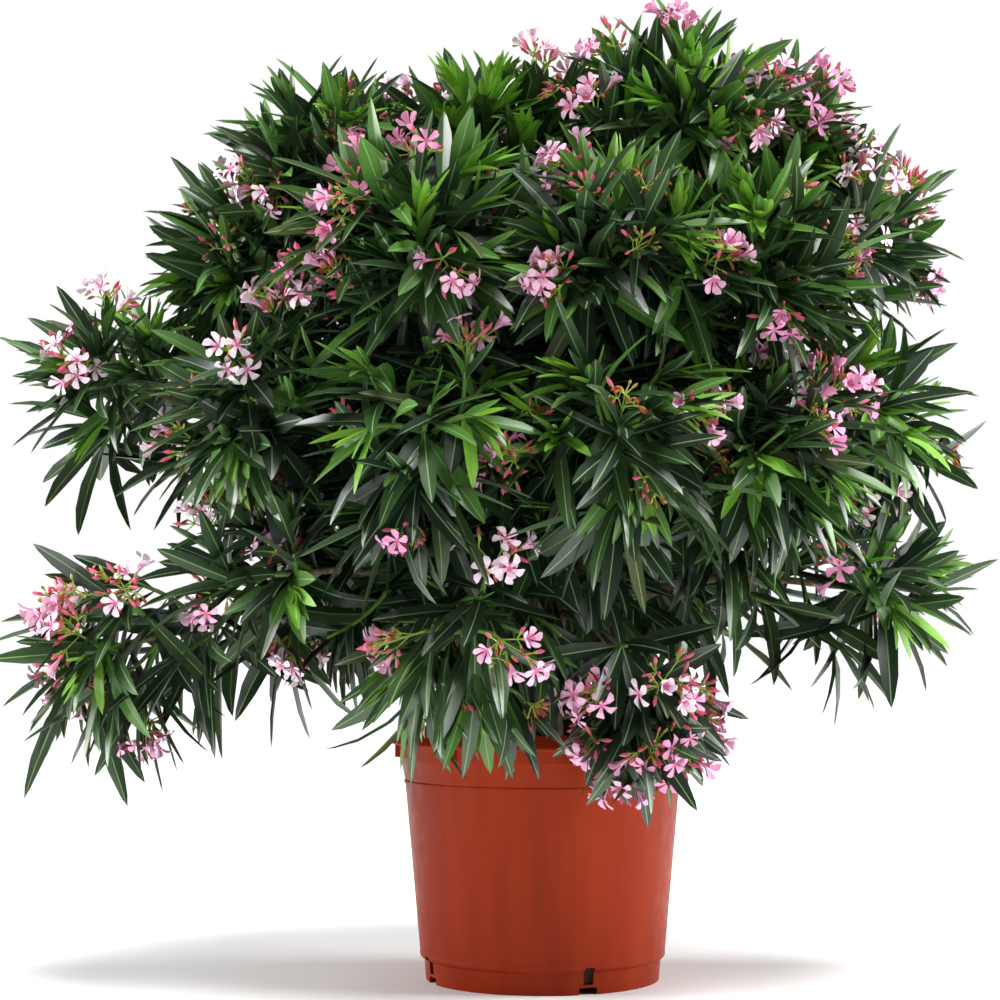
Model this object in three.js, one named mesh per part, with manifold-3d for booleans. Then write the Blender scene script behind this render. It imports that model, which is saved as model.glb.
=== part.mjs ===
// A flowering oleander (Nerium oleander), grown as a many-stemmed bush in a round 30 litre nursery pot.
//
// Millimetres, +Z up. The origin is the centre of the pot's flat underside, and the front of the bush is -Y.
// The pot is a thin-walled shell of revolution, filled with potting mix. Twelve stems stand on the mix, each
// with its own flared foot. Most of them carry side boughs, and every stem and bough ends where it enters a mass
// of foliage. A mass is one solid: a leader that goes on from the limb, twigs that fan out from it over the outer
// side of an ellipsoid, and whorls of three leaves and heads of blossom fused to the twigs.
import * as THREE from "three";
import { mergeVertices } from "three/addons/utils/BufferGeometryUtils.js";
import Module from "manifold-3d";

const wasm = await Module();
wasm.setup();

// ---------------------------------------------------------------- driving dimensions

const GAP = 0.3; // between pieces that touch
const UP = new THREE.Vector3(0, 0, 1);
const FULL_TURN = 2 * Math.PI;

const POT = {
  segments: 32,
  rimRadius: 199.5, // 400 mm across the lip
  height: 327,
  lipRadius: 187.5, // top edge of the lip
  neckRadius: 190.9, // collar under the rim
  collarBottom: 292.5,
  rimUnder: 308,
  wall: 3,
  footRadius: 153.3,
  footHeight: 30,
  plateUnder: 9, // underside of the base plate
  plateTop: 12.5,
  bossRadius: 36, // flat centre of the underside, flush with the foot
};
const SLOT = { count: 4, start: -69, width: 13.6, top: 35, notchWidth: 25, depth: 14 }; // start in degrees
const RIB = { count: 8, start: 8.6, width: 3, stand: 4.5, sunk: 4 };
const SOIL = { top: 300, edge: 292, flatRadius: 105 };

const LEAF = { length: 165, width: 42, widest: 0.44, keel: 0.25, thickness: 4.5, fold: 2, sunk: 1.5, sag: 0.1 };
const WHORL = { leaves: 3, at: 0.72, belowBloom: 0.5, spread: 0.58, shortest: 0.6, shorter: 0.13, room: 26 };
const TRIES = { count: 6, turn: 0.35, between: 0.7 }; // a whorl is turned about its twig until most leaves fit
const BLOOM = { corners: 5, radius: 36, depth: 9, sunk: 5, rise: 40 };
const TWIG = { foot: 4.6, tip: 3.6, sides: 3, steps: 1 };
const LEADER = { tip: 4.6, sides: 5, steps: 1, past: 0.3, bend: 0.5 };
const FAN = {
  apart: 62, // one twig for so much of a mass's half-extents
  cosine: -0.1, // of the widest angle between a twig's tip and the mass's heading
  golden: Math.PI * (3 - Math.sqrt(5)),
  first: 0.2, // where along the leader the last twig starts, and how much further the first one does
  further: 0.7,
  depth: 0.12, // share of the ellipsoid's radius that tips are scattered over
  bend: 0.55, // where along a twig its bend is, and how far it goes ahead and up there
  ahead: 0.16,
  up: 0.14,
  down: 0.2,
};

const STEM = { foot: 13, flare: 6, flareRate: 16, tip: 6.4, sides: 6, steps: 7, rise: 0.42, arrive: 0.3 };
const BOUGH = { foot: 6, tip: 4.6, sides: 5, steps: 4, rise: 0.35, arrive: 0.3 };
const ENTRY = 0.62; // a limb ends this share of a mass's least half-extent short of its centre

const CROWN_HEART = new THREE.Vector3(-20, 0, 560); // the masses head away from this point
const SAMPLES = { limb: 24, twig: 8, leaf: 8 };
const MARGIN = { limb: 4, space: 0.6, pot: 8, floor: 60 };

// ---------------------------------------------------------------- the masses of foliage and the limbs

// at: centre of the shoot tips, reach: their half-extents, leaf: length of its leaves as a share of the full one,
// droop: how far leaves hang, bloom: share of the twigs in flower.
const MASSES = {
  top_left: { at: [-252, -100, 1050], reach: [100, 115, 90], leaf: 0.95, droop: 0.05, bloom: 0.3 },
  top_left_back: { at: [-215, 165, 1025], reach: [120, 120, 105], leaf: 1, droop: 0.05, bloom: 0.3 },
  top_centre: { at: [-75, -30, 1085], reach: [110, 110, 80], leaf: 0.9, droop: 0.05, bloom: 0.2 },
  top_right: { at: [168, -95, 1120], reach: [110, 115, 90], leaf: 0.95, droop: 0.05, bloom: 0.35 },
  top_right_outer: { at: [308, 50, 1090], reach: [100, 118, 85], leaf: 0.9, droop: 0.1, bloom: 0.8 },
  top_right_back: { at: [115, 190, 1050], reach: [130, 115, 105], leaf: 1, droop: 0.05, bloom: 0.4 },
  left_upper: { at: [-385, -25, 925], reach: [90, 120, 95], leaf: 0.95, droop: 0.12, bloom: 0.55 },
  left_arm: { at: [-512, -45, 774], reach: [92, 115, 80], leaf: 0.95, droop: 0.12, bloom: 0.5 },
  left_low_arm: { at: [-518, -65, 446], reach: [110, 112, 84], leaf: 1, droop: 0.45, bloom: 0.8 },
  front_upper_left: { at: [-155, -270, 930], reach: [125, 95, 110], leaf: 1, droop: 0.15, bloom: 0.4 },
  front_upper_right: { at: [75, -285, 915], reach: [115, 95, 110], leaf: 1, droop: 0.15, bloom: 0.5 },
  right_front_upper: { at: [255, -215, 920], reach: [105, 100, 100], leaf: 1, droop: 0.15, bloom: 0.35 },
  right_upper_arm: { at: [400, 10, 960], reach: [84, 115, 72], leaf: 0.9, droop: 0.1, bloom: 0.7 },
  right_middle: { at: [400, -65, 722], reach: [85, 120, 95], leaf: 0.95, droop: 0.3, bloom: 0.5 },
  left_front_middle: { at: [-335, -205, 730], reach: [105, 100, 115], leaf: 1, droop: 0.3, bloom: 0.3 },
  front_middle_left: { at: [-140, -325, 690], reach: [115, 90, 110], leaf: 1, droop: 0.4, bloom: 0.15 },
  front_middle_right: { at: [80, -335, 690], reach: [110, 90, 110], leaf: 1, droop: 0.4, bloom: 0.4 },
  right_front_middle: { at: [265, -240, 670], reach: [100, 95, 100], leaf: 1, droop: 0.35, bloom: 0.4 },
  left_low_front: { at: [-305, -190, 530], reach: [90, 95, 65], leaf: 0.9, droop: 0.25, bloom: 0.7 },
  front_low: { at: [-90, -290, 462], reach: [90, 75, 80], leaf: 1, droop: 0.45, bloom: 0.6 },
  front_low_right: { at: [105, -255, 392], reach: [62, 50, 55], leaf: 0.75, droop: 0.4, bloom: 0.9 },
  right_low_arm: { at: [410, -30, 514], reach: [92, 110, 48], leaf: 0.95, droop: 0.1, bloom: 0.4 },
  back_left: { at: [-350, 230, 790], reach: [110, 110, 125], leaf: 1, droop: 0.25, bloom: 0.4 },
  back_centre: { at: [-70, 360, 800], reach: [130, 95, 130], leaf: 1, droop: 0.3, bloom: 0.4 },
  back_right: { at: [245, 270, 780], reach: [120, 105, 125], leaf: 1, droop: 0.25, bloom: 0.4 },
  back_low_left: { at: [-225, 260, 535], reach: [110, 90, 80], leaf: 1, droop: 0.3, bloom: 0.5 },
  back_low_right: { at: [150, 290, 530], reach: [110, 85, 80], leaf: 0.95, droop: 0.3, bloom: 0.5 },
};

// Distance from the middle and azimuth, in degrees, of each stem's foot. The stem ends in the mass of its name.
const STEMS = {
  top_left: [38, 196],
  top_left_back: [58, 138],
  top_centre: [4, 0],
  top_right: [44, -32],
  top_right_back: [50, 66],
  left_upper: [84, 176],
  left_arm: [82, 206],
  right_upper_arm: [86, 4],
  right_middle: [86, -34],
  front_middle_left: [84, 240],
  front_middle_right: [78, -82],
  back_centre: [84, 98],
};

// from: the stem that a bough leaves, at: how far along it. The bough ends in the mass of its name.
const BOUGHS = {
  front_upper_left: { from: "top_left", at: 0.5 },
  front_upper_right: { from: "top_centre", at: 0.5 },
  top_right_outer: { from: "top_right", at: 0.62 },
  right_front_upper: { from: "top_right", at: 0.42 },
  left_front_middle: { from: "left_upper", at: 0.45 },
  left_low_arm: { from: "left_arm", at: 0.35 },
  right_low_arm: { from: "right_middle", at: 0.35 },
  right_front_middle: { from: "right_middle", at: 0.55 },
  left_low_front: { from: "front_middle_left", at: 0.3 },
  front_low: { from: "front_middle_left", at: 0.55 },
  front_low_right: { from: "front_middle_right", at: 0.35 },
  back_left: { from: "top_left_back", at: 0.5 },
  back_right: { from: "top_right_back", at: 0.5 },
  back_low_left: { from: "back_centre", at: 0.3 },
  back_low_right: { from: "back_centre", at: 0.5 },
};

// ---------------------------------------------------------------- materials

const material = (color, roughness) => new THREE.MeshStandardMaterial({ color, roughness, metalness: 0 });
const PLASTIC = material("#b04a33", 0.45);
const MIX = material("#33261c", 0.95);
const BARK = material("#6d6046", 0.8);
const FOLIAGE = material("#24481f", 0.5);

// ---------------------------------------------------------------- tools

// Mulberry32: a small seeded generator of numbers from 0 to 1.
function seeded(seed) {
  let state = seed >>> 0;
  return () => {
    state = (state + 0x6d2b79f5) >>> 0;
    let t = state;
    t = Math.imul(t ^ (t >>> 15), t | 1);
    t ^= t + Math.imul(t ^ (t >>> 7), t | 61);
    return ((t ^ (t >>> 14)) >>> 0) / 4294967296;
  };
}

function toSolid(geometry) {
  const bare = geometry.clone();
  bare.deleteAttribute("normal");
  bare.deleteAttribute("uv");
  const merged = mergeVertices(bare, 1e-4);
  return new wasm.Manifold(
    new wasm.Mesh({
      numProp: 3,
      vertProperties: merged.attributes.position.array,
      triVerts: new Uint32Array(merged.index.array),
    }),
  );
}

function toGeometry(manifold) {
  const mesh = manifold.getMesh();
  const geometry = new THREE.BufferGeometry();
  geometry.setAttribute("position", new THREE.BufferAttribute(mesh.vertProperties, mesh.numProp));
  geometry.setIndex(new THREE.BufferAttribute(mesh.triVerts, 1));
  const flat = geometry.toNonIndexed();
  flat.computeVertexNormals();
  return flat;
}

// The outer surface of a solid's largest body, without scraps left by a cut or pockets sealed by a join.
function largestBody(manifold) {
  return manifold.decompose().reduce((best, body) => (body.volume() > best.volume() ? body : best));
}

function named(name, geometry, finish) {
  const mesh = new THREE.Mesh(geometry, finish);
  mesh.name = name;
  return mesh;
}

function cornersOf(geometry) {
  const position = geometry.attributes.position;
  return Array.from({ length: position.count }, (_, i) => new THREE.Vector3().fromBufferAttribute(position, i));
}

function along(from, to, count) {
  return Array.from({ length: count + 1 }, (_, i) => from.clone().lerp(to, i / count));
}

function perpendicular(direction) {
  const aside = Math.abs(direction.z) < 0.9 ? UP : new THREE.Vector3(1, 0, 0);
  return new THREE.Vector3().crossVectors(direction, aside).normalize();
}

// Tangent, normal and binormal of a curve at t, with the normal kept near one side of its chord.
function frameAt(curve, t) {
  const chord = curve.getPoint(1).sub(curve.getPoint(0)).normalize();
  const tangent = curve.getTangent(t);
  const normal = perpendicular(chord);
  normal.addScaledVector(tangent, -normal.dot(tangent)).normalize();
  return { tangent, normal, binormal: new THREE.Vector3().crossVectors(tangent, normal) };
}

// A point on the faceted axis that a limb of so many steps has.
function axisAt(curve, steps, t) {
  const step = Math.min(Math.floor(t * steps), steps - 1);
  return curve.getPoint(step / steps).lerp(curve.getPoint((step + 1) / steps), t * steps - step);
}

// A closed cylinder bent along a curve, with a radius that changes along it.
function limbGeometry(curve, radiusAt, sides, steps) {
  const geometry = new THREE.CylinderGeometry(1, 1, 1, sides, steps);
  const position = geometry.attributes.position;
  const frames = Array.from({ length: steps + 1 }, (_, i) => frameAt(curve, i / steps));
  const point = new THREE.Vector3();
  for (let i = 0; i < position.count; i++) {
    const t = position.getY(i) + 0.5;
    const { normal, binormal } = frames[Math.round(t * steps)];
    const radius = radiusAt(t);
    curve.getPoint(t, point);
    point.addScaledVector(binormal, position.getX(i) * radius);
    point.addScaledVector(normal, position.getZ(i) * radius);
    position.setXYZ(i, point.x, point.y, point.z);
  }
  return geometry;
}

const taper = (foot, tip) => (t) => THREE.MathUtils.lerp(foot, tip, t);

// ---------------------------------------------------------------- pot and potting mix

function lathe(profile) {
  const points = profile.map(([radius, height]) => new THREE.Vector2(radius, height));
  return new THREE.LatheGeometry(points, POT.segments).rotateX(Math.PI / 2);
}

// The inside of the wall, from the base plate up, as [radius, height].
const POT_INSIDE = [
  [149.6, POT.plateTop],
  [152.8, POT.footHeight + 1],
  [158.4, POT.footHeight + 6],
  [178.8, 261],
  [184, 290],
];

function potOutline() {
  const { plateUnder, plateTop, bossRadius, footRadius, footHeight, neckRadius, rimRadius, wall } = POT;
  const underside = [
    [0, 0],
    [bossRadius, 0],
    [bossRadius + wall, plateUnder],
    [footRadius - 2 * wall, plateUnder],
    [footRadius - wall, 0],
    [footRadius, 0],
  ];
  const body = [
    [footRadius + 2.4, footHeight],
    [footRadius + 8.1, footHeight + 3.5],
    [181.2, 258.5],
    [182.4, 260],
    [187.3, 288],
  ];
  const rim = [
    [neckRadius, POT.collarBottom],
    [neckRadius, POT.rimUnder],
    [rimRadius, POT.rimUnder + 2.5],
    [POT.lipRadius, POT.height],
    [POT.lipRadius - wall, POT.height],
  ];
  return [...underside, ...body, ...rim, ...POT_INSIDE.toReversed(), [0, plateTop]];
}

// A block set across the pot's wall at an azimuth, between two radii and two heights.
function wallBlock(azimuth, width, [inner, outer], [bottom, top]) {
  const block = new THREE.BoxGeometry(outer - inner, width, top - bottom);
  block.translate((inner + outer) / 2, 0, (bottom + top) / 2);
  return toSolid(block.rotateZ(azimuth));
}

// The pot stands on its foot ring and boss. Four drain slots cut the foot, each over a notch in the ring, and
// ribs under the rim keep stacked pots apart.
function makePot() {
  let pot = toSolid(lathe(potOutline()));
  const across = [POT.footRadius - SLOT.depth, POT.footRadius + SLOT.depth];
  for (let i = 0; i < SLOT.count; i++) {
    const azimuth = THREE.MathUtils.degToRad(SLOT.start) + (i / SLOT.count) * FULL_TURN;
    pot = pot.subtract(wallBlock(azimuth, SLOT.notchWidth, across, [-1, POT.plateUnder]));
    pot = pot.subtract(wallBlock(azimuth, SLOT.width, across, [POT.plateTop, SLOT.top]));
  }
  const standing = [POT.neckRadius - RIB.sunk, POT.neckRadius + RIB.stand];
  for (let i = 0; i < RIB.count; i++) {
    const azimuth = THREE.MathUtils.degToRad(RIB.start) + (i / RIB.count) * FULL_TURN;
    pot = pot.add(wallBlock(azimuth, RIB.width, standing, [POT.collarBottom + 0.5, POT.rimUnder + 1]));
  }
  return named("pot", toGeometry(pot), PLASTIC);
}

function makeSoil() {
  const clear = GAP * 1.2; // a little more than the gap, because the wall slopes
  const against = POT_INSIDE.map(([radius, height]) => [radius - clear, height]);
  against[0][1] += GAP;
  const surface = [
    [against.at(-1)[0], SOIL.edge],
    [SOIL.flatRadius, SOIL.top],
    [0, SOIL.top],
  ];
  return named("potting_mix", lathe([[0, POT.plateTop + GAP], ...against, ...surface]), MIX);
}

// ---------------------------------------------------------------- limbs

const massNames = Object.keys(MASSES);
for (const [index, name] of massNames.entries()) {
  const mass = MASSES[name];
  mass.seed = 101 + index * 37;
  mass.centre = new THREE.Vector3(...mass.at);
  mass.half = new THREE.Vector3(...mass.reach);
  mass.heading = mass.centre.clone().sub(CROWN_HEART).normalize();
  mass.least = Math.min(...mass.reach);
  mass.most = Math.max(...mass.reach);
  mass.entry = mass.centre.clone().addScaledVector(mass.heading, -ENTRY * mass.least);
}

// The curve of a limb that leaves its start in one direction and comes into a mass along its heading.
function limbCurve(start, leave, mass, { rise, arrive }) {
  const length = mass.entry.distanceTo(start);
  return new THREE.CubicBezierCurve3(
    start,
    start.clone().addScaledVector(leave, rise * length),
    mass.entry.clone().addScaledVector(mass.heading, -arrive * length),
    mass.entry,
  );
}

function stemCurve(name) {
  const [distance, azimuth] = STEMS[name];
  const angle = THREE.MathUtils.degToRad(azimuth);
  const foot = new THREE.Vector3(distance * Math.cos(angle), distance * Math.sin(angle), SOIL.top + GAP);
  return limbCurve(foot, UP, MASSES[name], STEM);
}

function boughCurve(name, parent) {
  const start = parent.getPoint(BOUGHS[name].at);
  const straight = MASSES[name].entry.clone().sub(start).normalize();
  const leave = parent.getTangent(BOUGHS[name].at).add(straight).normalize();
  return limbCurve(start, leave, MASSES[name], BOUGH);
}

const stemRadius = (t) => taper(STEM.foot, STEM.tip)(t) + STEM.flare * Math.exp(-STEM.flareRate * t);

const LIMBS = {};
for (const name of Object.keys(STEMS)) {
  LIMBS[name] = { curve: stemCurve(name), radiusAt: stemRadius, form: STEM };
}
for (const [name, { from }] of Object.entries(BOUGHS)) {
  const curve = boughCurve(name, LIMBS[from].curve);
  LIMBS[name] = { curve, radiusAt: taper(BOUGH.foot, BOUGH.tip), form: BOUGH };
}

function makeStem(name) {
  const { curve, radiusAt, form } = LIMBS[name];
  return named(`stem_${name}`, limbGeometry(curve, radiusAt, form.sides, form.steps), BARK);
}

// A bough is cut where it leaves its stem, with the gap between them.
function makeBough(name) {
  const { curve, radiusAt, form } = LIMBS[name];
  const parent = LIMBS[BOUGHS[name].from];
  const grownRadius = (t) => parent.radiusAt(t) + GAP;
  const grown = limbGeometry(parent.curve, grownRadius, parent.form.sides, parent.form.steps);
  const bough = toSolid(limbGeometry(curve, radiusAt, form.sides, form.steps)).subtract(toSolid(grown));
  return named(`bough_${name}`, toGeometry(largestBody(bough)), BARK);
}

// ---------------------------------------------------------------- the space that a mass may fill

// How far a point lies inside the plane that parts two masses' spaces.
function insideOf(mass, other, point) {
  const own = point.distanceToSquared(mass.centre) - mass.most ** 2;
  const theirs = point.distanceToSquared(other.centre) - other.most ** 2;
  return (theirs - own) / (2 * mass.centre.distanceTo(other.centre));
}

function inSpace(mass, points, margin) {
  return massNames.every(
    (name) => MASSES[name] === mass || points.every((p) => insideOf(mass, MASSES[name], p) > margin),
  );
}

function clearOfPot(points) {
  const beside = POT.rimRadius + MARGIN.pot;
  return points.every(
    (p) => p.z > POT.height + MARGIN.pot || (p.z > MARGIN.floor && Math.hypot(p.x, p.y) > beside),
  );
}

const limbLines = Object.values(LIMBS).map(({ curve, radiusAt }) => ({
  points: curve.getPoints(SAMPLES.limb),
  radii: Array.from({ length: SAMPLES.limb + 1 }, (_, i) => radiusAt(i / SAMPLES.limb)),
}));

// Whether a row of points keeps so much space from every limb.
function clearOfLimbs(points, space) {
  const segment = new THREE.Line3();
  const nearest = new THREE.Vector3();
  return limbLines.every((limb) =>
    limb.points.slice(1).every((end, i) => {
      segment.set(limb.points[i], end);
      return points.every(
        (p) => segment.closestPointToPoint(p, true, nearest).distanceTo(p) > limb.radii[i] + space,
      );
    }),
  );
}

// ---------------------------------------------------------------- leaves, blossom and twigs

// A sagging blade with a keel: six faces that meet at its root and tip. The root is sunk in the twig.
function leafGeometry(root, direction, face, scale) {
  const side = new THREE.Vector3().crossVectors(face, direction).normalize();
  const length = LEAF.length * scale;
  const geometry = new THREE.SphereGeometry(1, 3, 2); // poles at the root and tip, a ring of keel and two edges
  const position = geometry.attributes.position;
  for (let i = 0; i < position.count; i++) {
    const pole = Math.round(position.getY(i));
    const edge = pole ? 0 : Math.sign(Math.round(position.getZ(i)));
    const share = pole ? (pole + 1) / 2 : edge ? LEAF.widest : LEAF.keel;
    const lift = pole ? 0 : edge ? LEAF.fold : -LEAF.thickness;
    const point = root.clone().addScaledVector(direction, share * length - LEAF.sunk);
    point.addScaledVector(side, (edge * LEAF.width * scale) / 2);
    point.addScaledVector(face, lift);
    point.addScaledVector(UP, -LEAF.sag * length * share * share);
    position.setXYZ(i, point.x, point.y, point.z);
  }
  return geometry;
}

// A head of blossom: a flat five-cornered solid that faces along a direction, sunk on the twig's tip.
function bloomGeometry(tip, direction) {
  const geometry = new THREE.SphereGeometry(1, BLOOM.corners, 2);
  geometry.scale(BLOOM.radius, BLOOM.depth, BLOOM.radius);
  geometry.applyQuaternion(new THREE.Quaternion().setFromUnitVectors(new THREE.Vector3(0, 1, 0), direction));
  const centre = tip.clone().addScaledVector(direction, BLOOM.depth - BLOOM.sunk);
  return geometry.translate(...centre.toArray());
}

// The curve that carries a mass's twigs, from its limb's tip to just past the mass's centre.
function leaderCurve(name) {
  const mass = MASSES[name];
  const { curve } = LIMBS[name];
  const tangent = curve.getTangent(1);
  const start = curve.getPoint(1).addScaledVector(tangent, GAP);
  const end = mass.centre.clone().addScaledVector(mass.heading, LEADER.past * mass.least);
  const control = start.clone().addScaledVector(tangent, LEADER.bend * start.distanceTo(end));
  return new THREE.QuadraticBezierCurve3(start, control, end);
}

// The seeded rule: twigs fan out from the leader to tips spread over a cap of the mass's ellipsoid.
function twigCurves(mass, leader) {
  const random = seeded(mass.seed);
  const across = perpendicular(mass.heading);
  const beyond = new THREE.Vector3().crossVectors(mass.heading, across);
  const phase = random() * FULL_TURN;
  const count = Math.round((mass.half.x + mass.half.y + mass.half.z) / FAN.apart);
  return Array.from({ length: count }, (_, k) => {
    const cosine = 1 - ((k + 0.5) / count) * (1 - FAN.cosine);
    const sine = Math.sqrt(1 - cosine * cosine);
    const turn = phase + k * FAN.golden;
    const ray = mass.heading.clone().multiplyScalar(cosine);
    ray.addScaledVector(across, sine * Math.cos(turn)).addScaledVector(beyond, sine * Math.sin(turn));
    const tip = mass.centre.clone().addScaledVector(ray.multiply(mass.half), 1 - FAN.depth * random());
    const start = axisAt(leader, LEADER.steps, FAN.first + FAN.further * Math.max(0, cosine));
    const control = start.clone().lerp(tip, FAN.bend);
    const length = start.distanceTo(tip);
    control.addScaledVector(mass.heading, FAN.ahead * length);
    control.addScaledVector(UP, (FAN.up - FAN.down * mass.droop) * length);
    const blooms = random() < mass.bloom;
    if (blooms) tip.addScaledVector(tip.clone().sub(control).normalize(), BLOOM.rise);
    return { curve: new THREE.QuadraticBezierCurve3(start, control, tip), blooms };
  });
}

function twigFits(mass, { curve }) {
  const path = curve.getPoints(SAMPLES.twig);
  const free = path.slice(3); // its foot is in the leader, which goes on from a limb
  return inSpace(mass, path, TWIG.foot + MARGIN.space) && clearOfPot(path) && clearOfLimbs(free, TWIG.foot + GAP);
}

// The longest leaf that fits at a turn about a twig: one in its mass's space and clear of limbs, pot and the
// leaves that are placed. None, if even the shortest doesn't fit.
function fittingLeaf(mass, root, frame, turn, placed) {
  const outward = frame.normal.clone().multiplyScalar(Math.cos(turn));
  outward.addScaledVector(frame.binormal, Math.sin(turn));
  const direction = frame.tangent.clone().multiplyScalar(Math.cos(WHORL.spread));
  direction.addScaledVector(outward, Math.sin(WHORL.spread)).addScaledVector(UP, -mass.droop).normalize();
  const face = frame.tangent.clone().addScaledVector(direction, -frame.tangent.dot(direction)).normalize();
  for (let scale = mass.leaf; scale >= WHORL.shortest; scale -= WHORL.shorter) {
    const geometry = leafGeometry(root, direction, face, scale);
    const corners = cornersOf(geometry);
    const tip = corners.reduce((far, p) => (p.distanceTo(root) > far.distanceTo(root) ? p : far));
    const rib = along(root, tip, SAMPLES.leaf);
    const free = rib.slice(3); // leaves of a whorl meet at their roots
    const fits =
      inSpace(mass, corners, MARGIN.space) &&
      clearOfPot(corners.concat(rib)) &&
      clearOfLimbs(rib, MARGIN.limb + LEAF.width / 2) &&
      free.every((p) => placed.every((q) => p.distanceTo(q) > WHORL.room));
    if (fits) return { geometry, free };
  }
  return null;
}

// The leaves of the whorl on one twig, turned so that most of them fit.
function whorlOf(mass, { curve, blooms }, index, placed) {
  const at = blooms ? WHORL.belowBloom : WHORL.at;
  const frame = frameAt(curve, at);
  const root = axisAt(curve, TWIG.steps, at);
  const tried = Array.from({ length: TRIES.count }, (_, attempt) =>
    Array.from({ length: WHORL.leaves }, (_, i) => {
      const turn = (i / WHORL.leaves) * FULL_TURN + index * TRIES.between + attempt * TRIES.turn;
      return fittingLeaf(mass, root, frame, turn, placed);
    }).filter(Boolean),
  );
  return tried.reduce((most, leaves) => (leaves.length > most.length ? leaves : most));
}

function makeMass(name) {
  const mass = MASSES[name];
  const leader = leaderCurve(name);
  const leaderRadius = taper(LIMBS[name].radiusAt(1), LEADER.tip);
  const twigs = twigCurves(mass, leader).filter((twig) => twigFits(mass, twig));
  const pieces = [
    limbGeometry(leader, leaderRadius, LEADER.sides, LEADER.steps),
    ...twigs.map(({ curve }) => limbGeometry(curve, taper(TWIG.foot, TWIG.tip), TWIG.sides, TWIG.steps)),
  ];
  const placed = [];
  twigs.forEach((twig, index) => {
    const leaves = whorlOf(mass, twig, index, placed);
    placed.push(...leaves.flatMap((leaf) => leaf.free));
    pieces.push(...leaves.map((leaf) => leaf.geometry));
    const bloom = bloomGeometry(twig.curve.getPoint(1), twig.curve.getTangent(1));
    if (twig.blooms && inSpace(mass, cornersOf(bloom), MARGIN.space)) pieces.push(bloom);
  });
  const fused = pieces.map(toSolid).reduce((whole, piece) => whole.add(piece));
  return named(`foliage_${name}`, toGeometry(largestBody(fused)), FOLIAGE);
}

// ---------------------------------------------------------------- the assembly

const oleander = new THREE.Group();
oleander.add(makePot(), makeSoil());
oleander.add(...Object.keys(STEMS).map(makeStem));
oleander.add(...Object.keys(BOUGHS).map(makeBough));
oleander.add(...massNames.map(makeMass));

export default oleander;
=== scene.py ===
"""A flowering oleander (Nerium oleander) in a round nursery pot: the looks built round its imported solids.

The crown grows by the same seeded rule as the solids: limbs end in masses of foliage, a leader goes on from
each limb and coarse twigs fan out from it. Here the rule goes on to finer shoots, whorls of leaves, and
trusses of blossom. Growth is worked out in millimetres and turned to metres where a mesh is made. +Z is up,
and -Y is the front.
"""

import logging
import math
from collections.abc import Iterable, Sequence
from dataclasses import dataclass, field, fields, replace
from enum import Enum
from typing import ClassVar

import bpy
import numpy as np
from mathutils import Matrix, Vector


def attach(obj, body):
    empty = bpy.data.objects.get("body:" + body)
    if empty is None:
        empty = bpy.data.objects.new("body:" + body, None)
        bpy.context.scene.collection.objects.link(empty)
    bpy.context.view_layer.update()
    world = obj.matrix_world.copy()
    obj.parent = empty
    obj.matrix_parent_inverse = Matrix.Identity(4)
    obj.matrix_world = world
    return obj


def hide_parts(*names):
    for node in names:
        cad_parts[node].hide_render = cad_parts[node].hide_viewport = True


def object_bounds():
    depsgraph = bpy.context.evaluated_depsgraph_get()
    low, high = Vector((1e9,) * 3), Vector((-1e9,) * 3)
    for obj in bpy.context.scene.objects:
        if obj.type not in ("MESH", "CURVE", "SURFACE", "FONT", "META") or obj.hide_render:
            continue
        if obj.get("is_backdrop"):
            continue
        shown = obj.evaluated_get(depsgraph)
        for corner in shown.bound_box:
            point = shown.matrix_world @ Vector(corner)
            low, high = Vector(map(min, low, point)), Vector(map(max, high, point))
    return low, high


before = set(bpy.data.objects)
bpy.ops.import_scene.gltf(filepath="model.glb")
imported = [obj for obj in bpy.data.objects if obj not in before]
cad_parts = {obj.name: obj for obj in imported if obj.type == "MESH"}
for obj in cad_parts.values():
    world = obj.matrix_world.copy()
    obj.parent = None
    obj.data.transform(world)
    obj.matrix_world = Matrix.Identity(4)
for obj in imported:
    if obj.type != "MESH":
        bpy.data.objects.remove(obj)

LOG = logging.getLogger("oleander")
MM = 0.001  # a millimetre in metres
FULL_TURN = 2 * math.pi
GOLDEN = math.pi * (3 - math.sqrt(5))  # the golden angle, which spreads a spiral evenly
UP = np.array([0.0, 0.0, 1.0])
NEARLY_UPRIGHT = 0.9  # height of such a unit vector
CHORDS = 16  # that a curve's length is measured over
TIP_CAP = 0.6  # height of a tube's pointed end, as a share of its radius
WORD = 0xFFFFFFFF  # 32 bits
STRIDE = 0x6D2B79F5  # by which the seeded generator goes on

Array = np.ndarray


# ------------ numbers and curves


class Seeded:
    """Mulberry32: the small seeded generator of numbers from 0 to 1 that the solids use too."""

    def __init__(self, seed: int) -> None:
        """Starts at a seed."""
        self.state = seed & WORD

    def __call__(self) -> float:
        """Returns the next number."""
        self.state = (self.state + STRIDE) & WORD
        t = self.state
        t = ((t ^ (t >> 15)) * (t | 1)) & WORD
        t ^= (t + (((t ^ (t >> 7)) * (t | 61)) & WORD)) & WORD
        return ((t ^ (t >> 14)) & WORD) / (WORD + 1)


def unit(vectors: Array) -> Array:
    """Scales vectors to length 1.

    Args:
        vectors: One vector, or rows of them.

    Returns:
        The same directions with length 1.
    """
    length = np.linalg.norm(vectors, axis=-1, keepdims=True)
    return vectors / np.maximum(length, 1e-9)


def perpendicular(direction: Array) -> Array:
    """Returns a direction square to the given one, level unless that one is nearly upright."""
    aside = UP if abs(direction[2]) < NEARLY_UPRIGHT else np.array([1.0, 0.0, 0.0])
    return unit(np.cross(direction, aside))


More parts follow.
